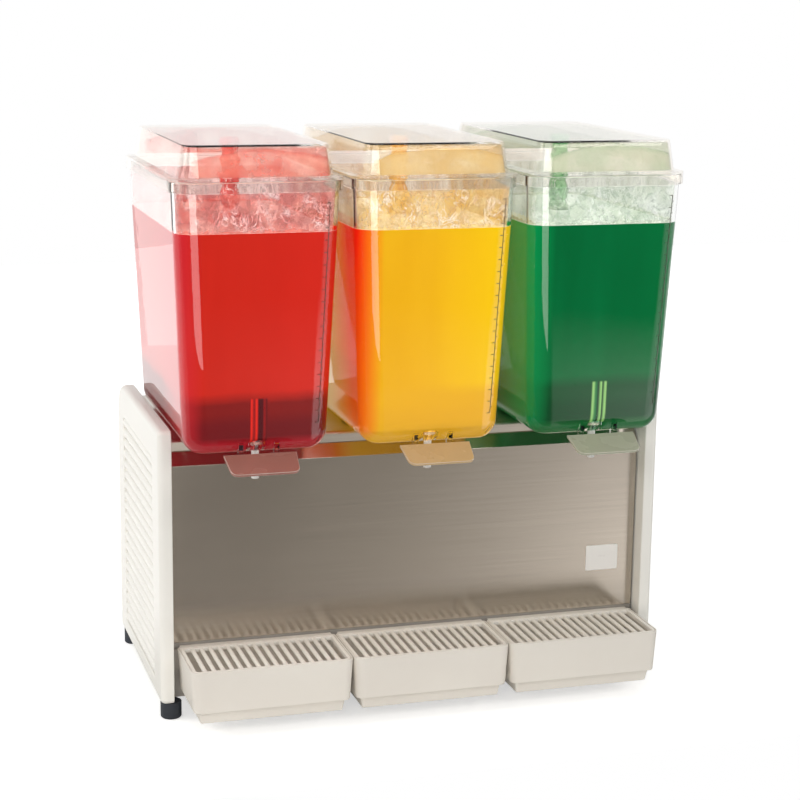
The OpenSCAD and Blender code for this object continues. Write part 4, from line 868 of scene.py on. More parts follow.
def striped(name, middle_x, tints):
    """A plunger painted as it looks through its drink: upright bands of painted light and shade from left to right, in
    the drink's colours, as glass rods show them, and pale plastic low down.
    """
    material, tree, shader = new_material(name)
    axes = put(tree, "ShaderNodeSeparateXYZ")
    tree.links.new(place(tree), axes.inputs["Vector"])
    across_share = spread(tree, axes.outputs["X"], 0.0, 1.0, middle_x - PLUNGER_SPAN, middle_x + PLUNGER_SPAN)
    bands = put(tree, "ShaderNodeValToRGB")
    ramp = bands.color_ramp
    ramp.interpolation = "EASE"
    stops = (0.1, 0.3, 0.42, 0.56, 0.68, 0.9)
    while len(ramp.elements) < len(stops):
        ramp.elements.new(1.0)
    for element, stop, tint in zip(ramp.elements, stops, tints):
        element.position = stop
        element.color = tint
    tree.links.new(across_share, bands.inputs["Fac"])
    ripple = noise(tree, place(tree, (60.0, 60.0, 12.0)), 1.0)
    below = spread(tree, axes.outputs["Z"], 0.0, 1.0, 0.332, 0.338)
    pale = blend_colors(tree, spread(tree, ripple, 0.0, 1.0, 0.35, 0.65), paint(232, 232, 228), paint(244, 244, 240))
    tree.links.new(blend_colors(tree, below, pale, bands.outputs["Color"]), shader.inputs["Base Color"])
    tree.links.new(spread(tree, ripple, 0.2, 0.35), shader.inputs["Roughness"])
    return material


PLUNGER_SPAN = 0.011
RED, RED_DARK, RED_MID = paint(226, 52, 40), paint(84, 22, 28), paint(150, 32, 32)
ORANGE, ORANGE_DARK = paint(240, 184, 40), paint(220, 160, 30)
GREEN_PALE, GREEN_DARK, GREEN_MID = paint(150, 204, 158), paint(14, 72, 42), paint(60, 140, 92)
# Each lever and valve seal takes the colour of its drink as a painted reflection.
lever_drink_reflections = {
    "left": (paint(158, 100, 88), paint(196, 150, 138)),
    "center": (paint(202, 168, 120), paint(226, 202, 164)),
    "right": (paint(172, 174, 150), paint(204, 208, 190)),
}
# Painted light and shade in the drink's colours, for the plunger seen through its drink.
plunger_drink_shading = {
    "left": (RED_MID, RED, RED_DARK, RED_DARK, RED_MID, RED_DARK),
    "center": (ORANGE_DARK, ORANGE, ORANGE, ORANGE_DARK, ORANGE, ORANGE_DARK),
    "right": (GREEN_DARK, GREEN_PALE, GREEN_DARK, GREEN_MID, GREEN_PALE, GREEN_DARK),
}
lever_finishes, plunger_finishes = {}, {}
for side in STATIONS:
    plunger_low, plunger_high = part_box(side + "_valve_plunger")
    middle_x = (plunger_low[0] + plunger_high[0]) / 2
    lever_finishes[side] = frosted(side + " lever painted with drink reflection", *lever_drink_reflections[side])
    plunger_finishes[side] = striped(side + " plunger painted through drink", middle_x, plunger_drink_shading[side])
print("levers and plungers:", len(lever_finishes) + len(plunger_finishes), "finishes")

# %% [markdown]
# ## Bowls
# A bowl is deeper than it is wide, leans in towards its base and has a thick band round its rim. Its
# base rolls under like a pillow and has a big hole that slips over the cooling cylinder. The wall is
# one closed skin: down the outside, under the base, up through the hole's collar and up the inside.

# %% Bowl sizes, in millimetres about the middle of a bowl at the deck
deck_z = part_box("top_deck")[1][2]


def middle_of(node):
    """Middle of a CAD node's box, in metres."""
    low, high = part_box(node)
    return (Vector(low) + Vector(high)) / 2


def station_origin(side):
    """Middle of a station at the deck's level, in metres."""
    spot = middle_of(side + "_bowl")
    return Vector((spot.x, spot.y, deck_z))


def from_station(node, side="center"):
    """Middle of a CAD node as seen from its station, in millimetres."""
    return (middle_of(node) - station_origin(side)) / MM


def half_size(node):
    """Half the width, depth and height of a CAD node, in millimetres."""
    low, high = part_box(node)
    return (Vector(high) - Vector(low)) / (2 * MM)


RIM_BAND, RIM_OUT, LEAN, ROUND, WALL = 12.0, 1.3, 11.5, 25.0, 4.0
rim_half = half_size("center_bowl")
HALF_W, HALF_D = rim_half.x - RIM_OUT, rim_half.y - RIM_OUT
RIM_Z = (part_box("center_bowl")[1][2] - deck_z) / MM
CORE_W, CORE_D = HALF_W - LEAN - ROUND, HALF_D - LEAN - ROUND
FLOOR_RISE = 5.0
HOLE, COLLAR, COLLAR_Z = 60.8, 64.8, 17.0
VALVE_Y = from_station("center_valve_plunger").y
PLUNGER_R, PLUNGER_ROOM, OUTLET_R = 11.0, 0.8, 7.0
WELL_TOP, WELL_FLOOR = 72.0, 12.0
PIN_Y, PIN_Z = from_station("center_lever_pin").yz
LUG_IN, LUG_OUT, LUG_R = 18.3, 23.3, 5.5


def wall_loop(z, inset):
    """The bowl's wall at a height, moved in from its outer face."""
    lean = LEAN * (RIM_Z - z) / (RIM_Z - ROUND)
    return level_loop(HALF_W - lean - inset, HALF_D - lean - inset, ROUND - inset, z)


def base_height(radius, middle):
    """Height of a rolled base, as a function of the place over the plan."""
    def height(point):
        out = math.hypot(max(abs(point.x) - CORE_W, 0.0), max(abs(point.y) - CORE_D, 0.0))
        return middle - math.sqrt(max(radius * radius - min(out, radius) ** 2, 0.0))
    return height


def rolled_base(inset, stop):
    """Outlines of the rolled edge of the base, from the wall to a chosen width beyond the core."""
    radius = ROUND - inset
    middle = ROUND if inset == 0 else ROUND + FLOOR_RISE
    loops = []
    turn = 0.0
    while radius * math.cos(math.radians(turn)) > stop:
        out = radius * math.cos(math.radians(turn))
        loops.append(level_loop(CORE_W + out, CORE_D + out, out, middle - radius * math.sin(math.radians(turn))))
        turn += 9.0
    return loops, base_height(radius, middle)


def floor_to_hole(edge, hole, height, steps=4):
    """Outlines from the rolled edge to the round hole."""
    circle = round_loop(hole, 0.0)
    return [lay_on(between(edge, circle, step / steps), height) for step in range(1, steps + 1)]


print("bowl stations at x", [round(station_origin(side).x, 4) for side in STATIONS])


# %% Bowls
def lug_outline():
    """A lug from the side: a rounded lower end about the pin and a straight rise."""
    points = []
    for step in range(13):
        turn = math.radians(180 + 180 * step / 12)
        points.append((PIN_Y + LUG_R * math.cos(turn), PIN_Z + LUG_R * math.sin(turn)))
    return points + [(PIN_Y + LUG_R, 12.0), (PIN_Y - LUG_R, 16.0)]


def build_bowl(work):
    band_w, band_d, band_r = HALF_W + RIM_OUT, HALF_D + RIM_OUT, ROUND + RIM_OUT
    low = RIM_Z - RIM_BAND
    outside = [level_loop(band_w - edge, band_d - edge, band_r - edge, z)
               for edge, z in ((1.0, RIM_Z), (0.3, RIM_Z - 0.3), (0.0, RIM_Z - 1.0), (0.0, low + 0.8), (0.3, low + 0.2))]
    outside += [wall_loop(z, 0.0) for z in (low, 240.0, 160.0, 90.0, 40.0)]
    rolled, under = rolled_base(0.0, 8.0)
    outside += rolled
    outside += floor_to_hole(rolled[-1], HOLE, under)
    collar = [round_loop(HOLE, COLLAR_Z - 0.6), round_loop(HOLE + 0.6, COLLAR_Z), round_loop(COLLAR - 0.6, COLLAR_Z),
              round_loop(COLLAR, COLLAR_Z - 0.6)]
    rolled, floor_height = rolled_base(WALL, 16.0)
    inside = list(reversed(floor_to_hole(rolled[-1], COLLAR, floor_height))) + list(reversed(rolled))
    inside += [wall_loop(z, WALL) for z in (40.0, 90.0, 160.0, 240.0, low, RIM_Z - 1.0, RIM_Z - 0.3)]
    inside.append(level_loop(HALF_W - WALL + 0.8, HALF_D - WALL + 0.8, ROUND - WALL + 0.8, RIM_Z))
    skin(work, outside + collar + inside, ring=True)


def build_lugs(work):
    for low, high in ((LUG_IN, LUG_OUT), (-LUG_OUT, -LUG_IN)):
        prism(work, lug_outline(), low, high, "X")


def plunger_hole(radius, low, high):
    """A build function for a round cutter on the valve's axis."""
    return lambda work: prism(work, disc_outline(radius, 0.0, VALVE_Y), low, high, "Z")


def merge(name, *meshes):
    """Joins meshes into one."""
    work = bmesh.new()
    for mesh in meshes:
        work.from_mesh(mesh)
    joined = bpy.data.meshes.new(name)
    work.to_mesh(joined)
    work.free()
    return joined


for side in STATIONS:
    origin = station_origin(side)
    cutters = [to_mesh("well", plunger_hole(PLUNGER_R + PLUNGER_ROOM, WELL_FLOOR, WELL_TOP), origin),
               to_mesh("outlet", plunger_hole(OUTLET_R, -40.0, 20.0), origin)]
    shell = carve(to_mesh("shell", build_bowl, origin), cutters)
    bowl_mesh = carve(shell, [to_mesh("lugs", build_lugs, origin)], "UNION")
    finish_piece(side + "_bowl_shell", bowl_mesh, side + "_bowl", bowl_clear, (side + "_bowl",))
    print(side, "bowl:", len(bowl_mesh.polygons), "faces")

# %% [markdown]
# ## What is in the bowls
# Each drink is one closed body with a stepped hollow for the cooling cylinder, the pump cover and the
# tube, so that its bowl can still be lifted off. Its skin lies a hair inside the wall, because a gap of
# air there would mirror the room and give the drink a dark outline. The wet film above the drink and the
# stream round the tube are thin lumpy skins of their own.

# %% Drinks in the bowls
LEVEL = (LEVEL_Z - deck_z) / MM
WET = -0.2
HOLLOW_STEPS = ((65.3, 17.5), (56.0, 17.5), (56.0, 151.0), (33.0, 151.0), (33.0, 175.0), (13.6, 185.0))


def build_drink(work):
    inset = WALL + WET
    top = wall_loop(LEVEL, inset)
    middle = round_loop(HOLLOW_STEPS[-1][0], LEVEL)
    surface = [between(middle, top, share) for share in (0.0, 0.3, 0.6, 0.9, 1.0)]
    walls = [wall_loop(z, inset) for z in (LEVEL - 1.5, 200.0, 140.0, 80.0, 40.0)]
    rolled, floor_height = rolled_base(inset, 16.0)
    floor_loops = floor_to_hole(rolled[-1], HOLLOW_STEPS[0][0], floor_height)
    hollow = [round_loop(radius, z) for radius, z in HOLLOW_STEPS]
    skin(work, surface + walls + rolled + floor_loops + hollow, ring=True)


valve_room = plunger_hole(PLUNGER_R + PLUNGER_ROOM, -5.0, WELL_TOP)
for side in STATIONS:
    origin = station_origin(side)
    drink_mesh = carve(to_mesh("drink", build_drink, origin), [to_mesh("room", valve_room, origin)])
    finish_piece(side + "_drink", drink_mesh, side + "_bowl", drink_finishes[side])
    print(side, "drink:", len(drink_mesh.polygons), "faces, up to", LEVEL_Z, "m")

# %% Wet walls and streams
FILM, FILM_GAP, FILM_TOP = 0.8, 0.3, RIM_Z - 12.0
STREAM_IN, STREAM_OUT, STREAM_TOP = 7.3, 13.0, 344.0
STREAM_STEPS = 40


def build_wet_wall(work):
    heights = [LEVEL - 1.0 + (FILM_TOP - LEVEL + 1.0) * step / 6 for step in range(7)]
    outside = [wall_loop(z, WALL + FILM_GAP) for z in heights]
    inside = [wall_loop(z, WALL + FILM_GAP + FILM) for z in reversed(heights)]
    skin(work, outside + inside, ring=True)


def build_stream(work):
    """A lumpy sheath that swells and narrows on its way up the tube and meets above it."""
    low = HOLLOW_STEPS[-1][1]
    loops = []
    for step in range(STREAM_STEPS + 1):
        share = step / STREAM_STEPS
        z = low + (STREAM_TOP - low) * share
        swell = 0.5 + 0.35 * math.sin(47 * share) + 0.15 * math.sin(97 * share + 1.0)
        loop = round_loop(STREAM_IN + 0.8 + (STREAM_OUT - STREAM_IN - 0.8) * swell, z)
        lean = 0.5 * math.sin(17 * share)
        loops.append([point + Vector((lean, 0.0, 0.0)) for point in loop])
    inside = [round_loop(STREAM_IN, z) for z in (STREAM_TOP - 0.5, low)]
    skin(work, loops + inside, ring=True)


for side in STATIONS:
    origin = station_origin(side)
    film = to_mesh("film", build_wet_wall, origin)
    finish_piece(side + "_wet_wall", film, side + "_bowl", wet_finishes[side])
    stream = to_mesh("stream", build_stream, origin)
    finish_piece(side + "_stream", stream, "cabinet", stream_finishes[side])
    print(side, "film and stream:", len(film.polygons) + len(stream.polygons), "faces")

# %% [markdown]
# ## Lids
# A lid is a deep clear cap. Its skirt goes round the bowl's rim, a flat flange lies on the rim, and a
# dome with sloping sides leaves room for the spray. It is the same kind of skin as the bowl, closed at
# the top: up the outside, and back down under the dome and inside the skirt.

# %% Lids
lid_low, lid_high = (Vector(corner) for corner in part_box("center_lid"))
SKIRT_W, SKIRT_D, _ = half_size("center_lid")
SKIRT_LOW, TOP_Z = (lid_low.z - deck_z) / MM, (lid_high.z - deck_z) / MM
SKIRT_R, SKIRT_T = ROUND + SKIRT_W - HALF_W, 1.8
FLANGE_TOP = RIM_Z + 4.0
LEDGE_W, LEDGE_D, DOME_LEAN, DOME_WALL = 10.5, 7.5, 6.5, 2.5
DOME_W, DOME_D, DOME_R = SKIRT_W - LEDGE_W, SKIRT_D - LEDGE_D, 24.0
TOP_W, TOP_D, TOP_R = DOME_W - DOME_LEAN, DOME_D - DOME_LEAN, 16.0


def dome_loop(share, inset, z):
    """An outline of the dome between its foot (0) and its top (1)."""
    half_w = DOME_W + share * (TOP_W - DOME_W) - inset
    half_d = DOME_D + share * (TOP_D - DOME_D) - inset
    return level_loop(half_w, half_d, DOME_R + share * (TOP_R - DOME_R) - inset, z)


def skirt_loop(inset, z):
    return level_loop(SKIRT_W - inset, SKIRT_D - inset, SKIRT_R - inset, z)


def build_lid(work):
    rise = TOP_Z - FLANGE_TOP
    outside = [skirt_loop(0.4, SKIRT_LOW), skirt_loop(0.0, SKIRT_LOW + 0.5), skirt_loop(0.0, FLANGE_TOP - 1.2),
               skirt_loop(0.4, FLANGE_TOP - 0.4), skirt_loop(1.2, FLANGE_TOP)]
    outside += [dome_loop(0.0, -1.0, FLANGE_TOP), dome_loop(0.0, -0.3, FLANGE_TOP + 0.3), dome_loop(0.03, 0.0, FLANGE_TOP + 1.2)]
    outside += [dome_loop(share, 0.0, FLANGE_TOP + rise * share) for share in (0.35, 0.7, 0.94)]
    outside += [dome_loop(1.0, 0.0, TOP_Z - 1.2), dome_loop(1.0, 0.5, TOP_Z - 0.4), dome_loop(1.0, 1.6, TOP_Z)]
    outside += [dome_loop(1.0, 8.0, TOP_Z)]
    cover = TOP_Z - DOME_WALL
    inside = [dome_loop(1.0, 8.0, cover), dome_loop(1.0, 3.0, cover), dome_loop(0.94, DOME_WALL, cover - 1.5)]
    inside += [dome_loop(share, DOME_WALL, FLANGE_TOP + rise * share) for share in (0.7, 0.35, 0.0)]
    inside += [dome_loop(0.0, DOME_WALL, RIM_Z + 0.3), skirt_loop(SKIRT_T + 0.4, RIM_Z + 0.3)]
    inside += [skirt_loop(SKIRT_T, RIM_Z - 0.3), skirt_loop(SKIRT_T, SKIRT_LOW + 0.5), skirt_loop(SKIRT_T - 0.4, SKIRT_LOW)]
    rows = [[work.verts.new(point) for point in loop] for loop in outside + inside]
    count = len(rows[0])
    top_rim, under_rim = rows[len(outside) - 1], rows[len(outside)]
    for low, high in list(zip(rows, rows[1:])) + [(rows[-1], rows[0])]:
        if low is top_rim:
            continue
        for index in range(count):
            following = (index + 1) % count
            work.faces.new((low[index], low[following], high[following], high[index]))
    work.faces.new(top_rim)
    work.faces.new(list(reversed(under_rim)))


def build_spray(work):
    """A thin film on the inner side of the dome's walls."""
    rise = TOP_Z - FLANGE_TOP
    shares = (0.02, 0.3, 0.6, 0.88)
    outside = [dome_loop(share, DOME_WALL + FILM_GAP, FLANGE_TOP + rise * share) for share in shares]
    inside = [dome_loop(share, DOME_WALL + FILM_GAP + FILM, FLANGE_TOP + rise * share) for share in reversed(shares)]
    skin(work, outside + inside, ring=True)


for side in STATIONS:
    origin = station_origin(side)
    lid_mesh = to_mesh("lid", build_lid, origin)
    finish_piece(side + "_lid_cap", lid_mesh, side + "_lid", lid_clear, (side + "_lid",))
    spray = to_mesh("spray", build_spray, origin)
    finish_piece(side + "_spray_film", spray, side + "_lid", spray_finishes[side])
    print(side, "lid:", len(lid_mesh.polygons), "faces")

# %% [markdown]
# ## Drip trays and grilles
# Each tray is a white box with round front corners that steps in to a narrower base. Its grille drops
# into the rim. The tray is lofted like the bowls, and the grille is a frame with a row of round-topped
# slats from the bar tree.

# %% Trays
HOOK_BACK, HOOK_T, HOOK_LIP, HOOK_LOW = 5.9, 3.0, 2.0, 73.0
tray_half = half_size("center_drip_tray")
TRAY_HALF, TRAY_DEPTH = tray_half.x, 2 * tray_half.y - HOOK_BACK
TRAY_NEAR, TRAY_FAR = 12.0, 4.0
TRAY_TOP, TRAY_LOW, TRAY_FOOT, TRAY_WALL = 85.0, 34.0, 19.0, 2.2
TRAY_LEAN, FOOT_IN = 3.0, 9.0
GRILLE_IN, LEDGE_Z = 2.6, 79.8


def tray_origin(side):
    """Middle of a tray's front edge on the counter, in metres."""
    low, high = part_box(side + "_drip_tray")
    return Vector(((low[0] + high[0]) / 2, low[1], 0.0))


def tray_loop(inset, z):
    near = max(TRAY_NEAR - inset, 2.0)
    far = max(TRAY_FAR - inset, 1.0)
    return rounded_loop(TRAY_HALF - inset, inset, TRAY_DEPTH - inset, near, far, z)


def build_tray(work):
    loops = [tray_loop(GRILLE_IN, LEDGE_Z), tray_loop(2.2, TRAY_TOP - 0.4), tray_loop(1.2, TRAY_TOP), tray_loop(0.8, TRAY_TOP)]
    loops += [tray_loop(0.2, TRAY_TOP - 0.4), tray_loop(0.0, TRAY_TOP - 1.2), tray_loop(1.5, 60.0)]
    loops += [tray_loop(TRAY_LEAN, TRAY_LOW + 1.5), tray_loop(TRAY_LEAN + 0.6, TRAY_LOW + 0.3), tray_loop(TRAY_LEAN + 2.0, TRAY_LOW)]
    loops += [tray_loop(FOOT_IN - 0.5, TRAY_LOW), tray_loop(FOOT_IN, TRAY_LOW - 0.6), tray_loop(FOOT_IN + 2.5, TRAY_FOOT + 1.2)]
    loops += [tray_loop(FOOT_IN + 3.0, TRAY_FOOT + 0.4), tray_loop(FOOT_IN + 4.0, TRAY_FOOT)]
    floor_z = TRAY_LOW + TRAY_WALL
    inside = [tray_loop(FOOT_IN + 4.0, floor_z), tray_loop(TRAY_LEAN + TRAY_WALL + 2.0, floor_z)]
    inside += [tray_loop(TRAY_LEAN + TRAY_WALL, floor_z + 2.0), tray_loop(5.0, LEDGE_Z - 1.0), tray_loop(5.0, LEDGE_Z)]
    rows = [[work.verts.new(point) for point in loop] for loop in loops + inside]
    bottom, floor_row = rows[len(loops) - 1], rows[len(loops)]
    count = len(bottom)
    inner_rows = rows[len(loops):]
    for low, high in list(zip(rows, rows[1:])) + [(rows[-1], rows[0])]:
        if low is bottom:
            continue
        for index in range(count):
            following = (index + 1) % count
            face = work.faces.new((low[index], low[following], high[following], high[index]))
            # Inner faces take the painted shade.
            face.material_index = 1 if low in inner_rows and high in inner_rows else 0
    work.faces.new(bottom)
    work.faces.new(list(reversed(floor_row))).material_index = 1
    edge = TRAY_DEPTH
    hook = [(edge - 1.0, TRAY_TOP - HOOK_T), (edge + HOOK_BACK - HOOK_LIP, TRAY_TOP - HOOK_T)]
    hook += [(edge + HOOK_BACK - HOOK_LIP, HOOK_LOW), (edge + HOOK_BACK, HOOK_LOW), (edge + HOOK_BACK, TRAY_TOP - 0.8)]
    hook += [(edge + HOOK_BACK - 0.8, TRAY_TOP - 0.05), (edge - 1.0, TRAY_TOP - 0.05)]
    prism(work, hook, -TRAY_HALF + 4.0, TRAY_HALF - 4.0, "X")


for side in STATIONS:
    tray_mesh = to_mesh("tray", build_tray, tray_origin(side))
    finish_piece(side + "_tray_shell", tray_mesh, side + "_tray", white_plastic, (side + "_drip_tray",))
    tray_mesh.materials.append(tray_shade)
    print(side, "tray:", len(tray_mesh.polygons), "faces")

# %% Grilles
SLOT_COUNT, SLOT_WIDE = 17, 5.4
GRILLE_SIDE, GRILLE_NEAR, GRILLE_FAR = 4.0, 4.0, 6.0
GRILLE_LOW, GRILLE_TOP = 80.0, 84.8


def build_grille_frame(work):
    outer = [tray_loop(GRILLE_IN + 0.5, GRILLE_LOW), tray_loop(GRILLE_IN, GRILLE_LOW + 0.5), tray_loop(GRILLE_IN, GRILLE_TOP - 0.8),
             tray_loop(GRILLE_IN + 0.3, GRILLE_TOP - 0.2), tray_loop(GRILLE_IN + 0.9, GRILLE_TOP)]
    half = TRAY_HALF - GRILLE_IN - GRILLE_SIDE
    near = GRILLE_IN + GRILLE_NEAR
    far = TRAY_DEPTH - GRILLE_IN - GRILLE_FAR

    def window(out, z):
        return rounded_loop(half + out, near - out, far + out, 4.0 + out, 2.0 + out, z)

    inner = [window(0.8, GRILLE_TOP), window(0.2, GRILLE_TOP - 0.3), window(0.0, GRILLE_TOP - 0.9), window(0.0, GRILLE_LOW)]
    skin(work, outer + inner, ring=True)


for side in STATIONS:
    origin = tray_origin(side)
    half = TRAY_HALF - GRILLE_IN - GRILLE_SIDE
    pitch = 2 * half / SLOT_COUNT
    near = GRILLE_IN + GRILLE_NEAR - 1.0
    far = TRAY_DEPTH - GRILLE_IN - GRILLE_FAR + 1.0
    height = (GRILLE_TOP - GRILLE_LOW) / 2
    slat_half = (pitch - SLOT_WIDE) / 2
    first = origin + Vector((pitch - half, (near + far) / 2, GRILLE_LOW + height)) * MM
    slats = grow("slats", bar_row, {
        "Count": SLOT_COUNT - 1,
        "Start": first,
        "Step": (pitch * MM, 0.0, 0.0),
        "Length": (far - near) * MM,
        "Radius": height * MM,
        "Turn": (math.radians(90), 0.0, 0.0),
        "Flatten": (slat_half / height, 1.0, 1.0),
        "Sides": 20,
        "Material": lit_grille_white,
    })
    frame_mesh = to_mesh("grille", build_grille_frame, origin)
    grille_mesh = merge(side + "_grille_bars", frame_mesh, slats)
    finish_piece(side + "_grille_bars", grille_mesh, side + "_grille", lit_grille_white, (side + "_tray_grille",))
    print(side, "grille:", SLOT_COUNT, "slots at", round(pitch, 2), "mm")

# %% [markdown]
# ## Side panels
# The louvred side panels are single white mouldings with soft upright edges. The plate is one skin round
# the window, lofted across its thickness, and the louvres are round bars from the bar tree.

# %% Side panels
PANEL_ROUND, PANEL_CORNER, PANEL_EDGE = 40.0, 6.0, 7.0
WINDOW_IN, WINDOW_LOW, WINDOW_TOP = 44.0, 40.0, 311.0
BAR_R, BAR_GAP = 5.0, 3.3
LOUVRE_LAP = -0.09


def panel_outline(inset, low, high, front, rear):
    """A panel from the side: small round corners, and a big one at the top of the rear edge."""
    points = []
    corners = ((rear - PANEL_CORNER, low + PANEL_CORNER, PANEL_CORNER, -90), (rear - PANEL_ROUND, high - PANEL_ROUND, PANEL_ROUND, 0),
               (front + PANEL_CORNER, high - PANEL_CORNER, PANEL_CORNER, 90), (front + PANEL_CORNER, low + PANEL_CORNER, PANEL_CORNER, 180))
    for y, z, radius, start in corners:
        for step in range(CORNER_STEPS + 1):
            turn = math.radians(start + 90 * step / CORNER_STEPS)
            points.append((y + (radius - inset) * math.cos(turn), z + (radius - inset) * math.sin(turn)))
    return points


def build_panel(node, sign):
    """A build function for one panel; sign is 1 where the outer face looks to +X."""
    low, high = (tuple(value / MM for value in corner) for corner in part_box(node))
    inner, outer = (low[0], high[0]) if sign > 0 else (high[0], low[0])

    def ring(depth, inset):
        x = outer - sign * depth
        return [Vector((x, y, z)) for y, z in panel_outline(inset, low[2], high[2], low[1], high[1])]

    def window(depth, out):
        x = outer - sign * depth
        front, rear = low[1] + WINDOW_IN - out, high[1] - WINDOW_IN + out
        corners = []
        for y, z, start in ((rear, WINDOW_LOW - out, -90), (rear, WINDOW_TOP + out, 0), (front, WINDOW_TOP + out, 90), (front, WINDOW_LOW - out, 180)):
            radius = 4.0
            cy = y - radius if y == rear else y + radius
            cz = z + radius if z < (WINDOW_LOW + WINDOW_TOP) / 2 else z - radius
            for step in range(CORNER_STEPS + 1):
                turn = math.radians(start + 90 * step / CORNER_STEPS)
                corners.append(Vector((x, cy + radius * math.cos(turn), cz + radius * math.sin(turn))))
        return corners

    def build(work):
        thick = abs(outer - inner)
        edge = [(PANEL_EDGE * (1 - math.sin(math.radians(turn))), PANEL_EDGE * (1 - math.cos(math.radians(turn))) * 0.8) for turn in (0, 18, 36, 54, 72, 90)]
        loops = [ring(thick, 0.8), ring(thick - 0.8, 0.0)]
        loops += [ring(depth, min(inset, PANEL_CORNER - 0.4)) for depth, inset in edge]
        loops += [window(0.0, 1.2), window(0.4, 0.4), window(1.2, 0.0), window(thick - 0.8, 0.0), window(thick, 0.6)]
        skin(work, loops, ring=True)

    return build


for side, sign in (("left", -1), ("right", 1)):
    node = side + "_side_panel"
    low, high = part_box(node)
    plate = to_mesh("plate", build_panel(node, sign), Vector((0.0, 0.0, 0.0)))
    window_h = WINDOW_TOP - WINDOW_LOW
    bars = math.floor((window_h - BAR_GAP) / (2 * BAR_R + BAR_GAP))
    pitch = window_h / bars
    outer = high[0] if sign > 0 else low[0]
    span = high[1] - low[1] - 2 * (WINDOW_IN - 2.0) * MM
    louvres = grow("louvres", bar_row, {
        "Count": bars,
        "Start": (outer - sign * (BAR_R + 0.3) * MM, (low[1] + high[1]) / 2, (WINDOW_LOW + pitch / 2) * MM),
        "Step": (0.0, 0.0, pitch * MM),
        "Length": span,
        "Radius": BAR_R * MM,
        "Turn": (math.radians(90), 0.0, 0.0),
        "Flatten": (1.0, 1.0, pitch / (2 * BAR_R) + LOUVRE_LAP),
        "Sides": 32,
        "Material": lit_panel_white,
    })
    panel_mesh = merge(side + "_louvre_panel", plate, louvres)
    finish_piece(side + "_louvre_panel", panel_mesh, "cabinet", lit_panel_white, (node,))
    print(side, "panel:", bars, "louvre bars at", round(pitch, 2), "mm")

# %% [markdown]
# ## Marks and label
# A fine scale runs down the front of each bowl near its right corner: a stem that leans with the wall,
# and ticks on both sides of it, all from the bar tree. The label on the steel is a blank white plate.

# %% Measuring marks
MARK_TURN, MARK_LOW, MARK_HIGH = -67.0, 35.0, 286.0
TICK_GAP, TICK_LONG, TICK_SHORT, TICK_R = 13.9, 4.5, 2.4, 0.45
INK_OUT = 0.1
wall_slope = LEAN / (RIM_Z - ROUND)
mark_angle = math.radians(MARK_TURN)


def mark_spot(z, shift=0.0):
    """A place on the front right corner, shifted round the wall, in millimetres from the station."""
    lean = wall_slope * (RIM_Z - z)
    reach = ROUND + INK_OUT
    x = HALF_W - lean - ROUND + reach * math.cos(mark_angle) - shift * math.sin(mark_angle)
    y = ROUND + lean - HALF_D + reach * math.sin(mark_angle) + shift * math.cos(mark_angle)
    return Vector((x, y, z))


def mark_row(origin, count, low, shift, length, turn):
    """A row of ink bars up the wall, as a mesh."""
    step = Vector((wall_slope, -wall_slope, 1.0)) * TICK_GAP * MM
    return grow("marks", bar_row, {
        "Count": count,
        "Start": origin + mark_spot(low, shift) * MM,
        "Step": step,
        "Length": length * MM,
        "Radius": TICK_R * MM,
        "Turn": turn,
        "Flatten": (1.0, 1.0, 1.0),
        "Sides": 8,
        "Material": mark_ink,
    })


stem_turn = (math.atan(wall_slope), math.atan(wall_slope), 0.0)
tick_turn = (0.0, math.radians(90), mark_angle + math.radians(90))
tick_count = 1 + math.floor((MARK_HIGH - MARK_LOW) / TICK_GAP)
for side in STATIONS:
    origin = station_origin(side)
    stem = mark_row(origin, 1, (MARK_LOW + MARK_HIGH) / 2, 0.0, MARK_HIGH - MARK_LOW, stem_turn)
    ticks = mark_row(origin, tick_count, MARK_LOW, -TICK_LONG / 2, TICK_LONG, tick_turn)
    halves = mark_row(origin, tick_count - 1, MARK_LOW + TICK_GAP / 2, TICK_SHORT / 2, TICK_SHORT, tick_turn)
    marks = merge(side + "_measure_marks", stem, ticks, halves)
    finish_piece(side + "_measure_marks", marks, side + "_bowl", mark_ink)
    print(side, "marks:", tick_count, "ticks")

# %% Label plate
LABEL_X, LABEL_Z, LABEL_W, LABEL_H = 251.3, 152.6, 42.6, 32.2
LABEL_T, LABEL_R, LABEL_EDGE = 0.9, 2.0, 0.3
label_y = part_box("splash_panel")[0][1] / MM


def build_label(work):
    def outline(inset, y):
        loop = rounded_loop(LABEL_W / 2 - inset, inset - LABEL_H / 2, LABEL_H / 2 - inset, LABEL_R, LABEL_R, 0.0)
        return [Vector((LABEL_X + point.x, y, LABEL_Z + point.y)) for point in loop]

    front = label_y - LABEL_T
    skin(work, [outline(0.0, label_y), outline(0.0, front + LABEL_EDGE), outline(LABEL_EDGE, front)])


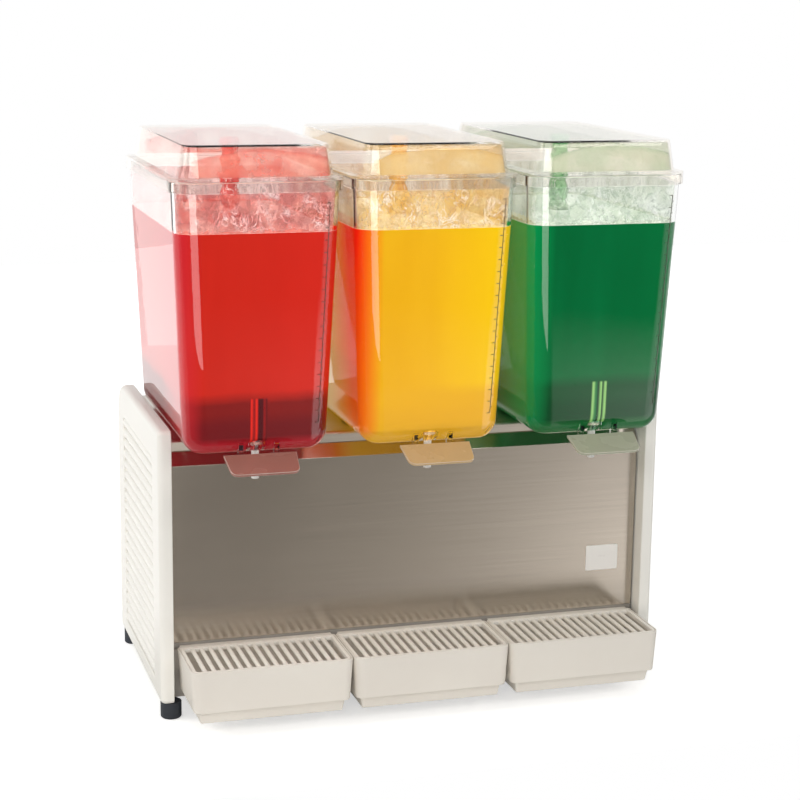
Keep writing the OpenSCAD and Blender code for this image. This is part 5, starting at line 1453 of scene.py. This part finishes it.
label_mesh = to_mesh("label", build_label, Vector((0.0, 0.0, 0.0)))
finish_piece("label_plate", label_mesh, "cabinet", label_white)
print("label plate", LABEL_W, "by", LABEL_H, "mm, left blank")

# %% [markdown]
# ## Sheet metal, levers and feet
# These shapes come straight from the CAD solids. Real folded or moulded edges are never perfectly sharp,
# so each gets a copy with its loose triangles merged and a small bevel that catches the light.

# %% Sheet metal, levers, feet and knob
soft_copy("splash_sheet", "splash_panel", "cabinet", splash_steel, 0.4)
soft_copy("deck_sheet", "top_deck", "cabinet", stainless, 0.3)
soft_copy("rubber_feet", "feet", "cabinet", rubber, 0.5)
soft_copy("knob_cap", "thermostat_knob", "thermostat_knob", white_plastic, 0.8)
soft_copy("rocker_cap", "power_switch", "power_switch", switch_red, 0.4)
for side in STATIONS:
    lever = soft_copy(side + "_push_lever", side + "_lever", side + "_lever", lever_finishes[side], 0.6)
    # Painted highlight: the rounded edges of a lever take a lighter finish.
    lever.data.materials.append(lever_edge_highlight)
    lever.modifiers["rounding"].material = 1
print("edges rounded")

# %% Materials of the pieces that keep their CAD shape
kept_finishes = {
    "base_pan": rail_grey, "rear_panel": painted_steel, "tray_rail": rail_grey, "fan_motor": painted_steel,
    "pump_motors": painted_steel, "panel_screws": bright_steel, "cord_gland": black_plastic, "control_box": black_plastic,
    "fan_blade": black_plastic, "compressor": enamel, "compressor_mounts": rubber, "condenser": fins,
    "refrigerant_lines": copper, "bowl_gaskets": rubber,
}
for side in STATIONS:
    kept_finishes[side + "_evaporator"] = stainless
    kept_finishes[side + "_pump_cover"] = white_plastic
    kept_finishes[side + "_spray_tube"] = tube_clear
    kept_finishes[side + "_lever_pin"] = bright_steel
    kept_finishes[side + "_valve_plunger"] = plunger_finishes[side]
    kept_finishes[side + "_valve_seal"] = lever_finishes[side]
    kept_finishes[side + "_impeller"] = valve_white
    kept_finishes[side + "_drive_magnet"] = ferrite
for node, material in kept_finishes.items():
    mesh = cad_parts[node].data
    if mesh.materials:
        for index in range(len(mesh.materials)):
            mesh.materials[index] = material
    else:
        mesh.materials.append(material)
print(len(kept_finishes), "CAD nodes keep their shape")
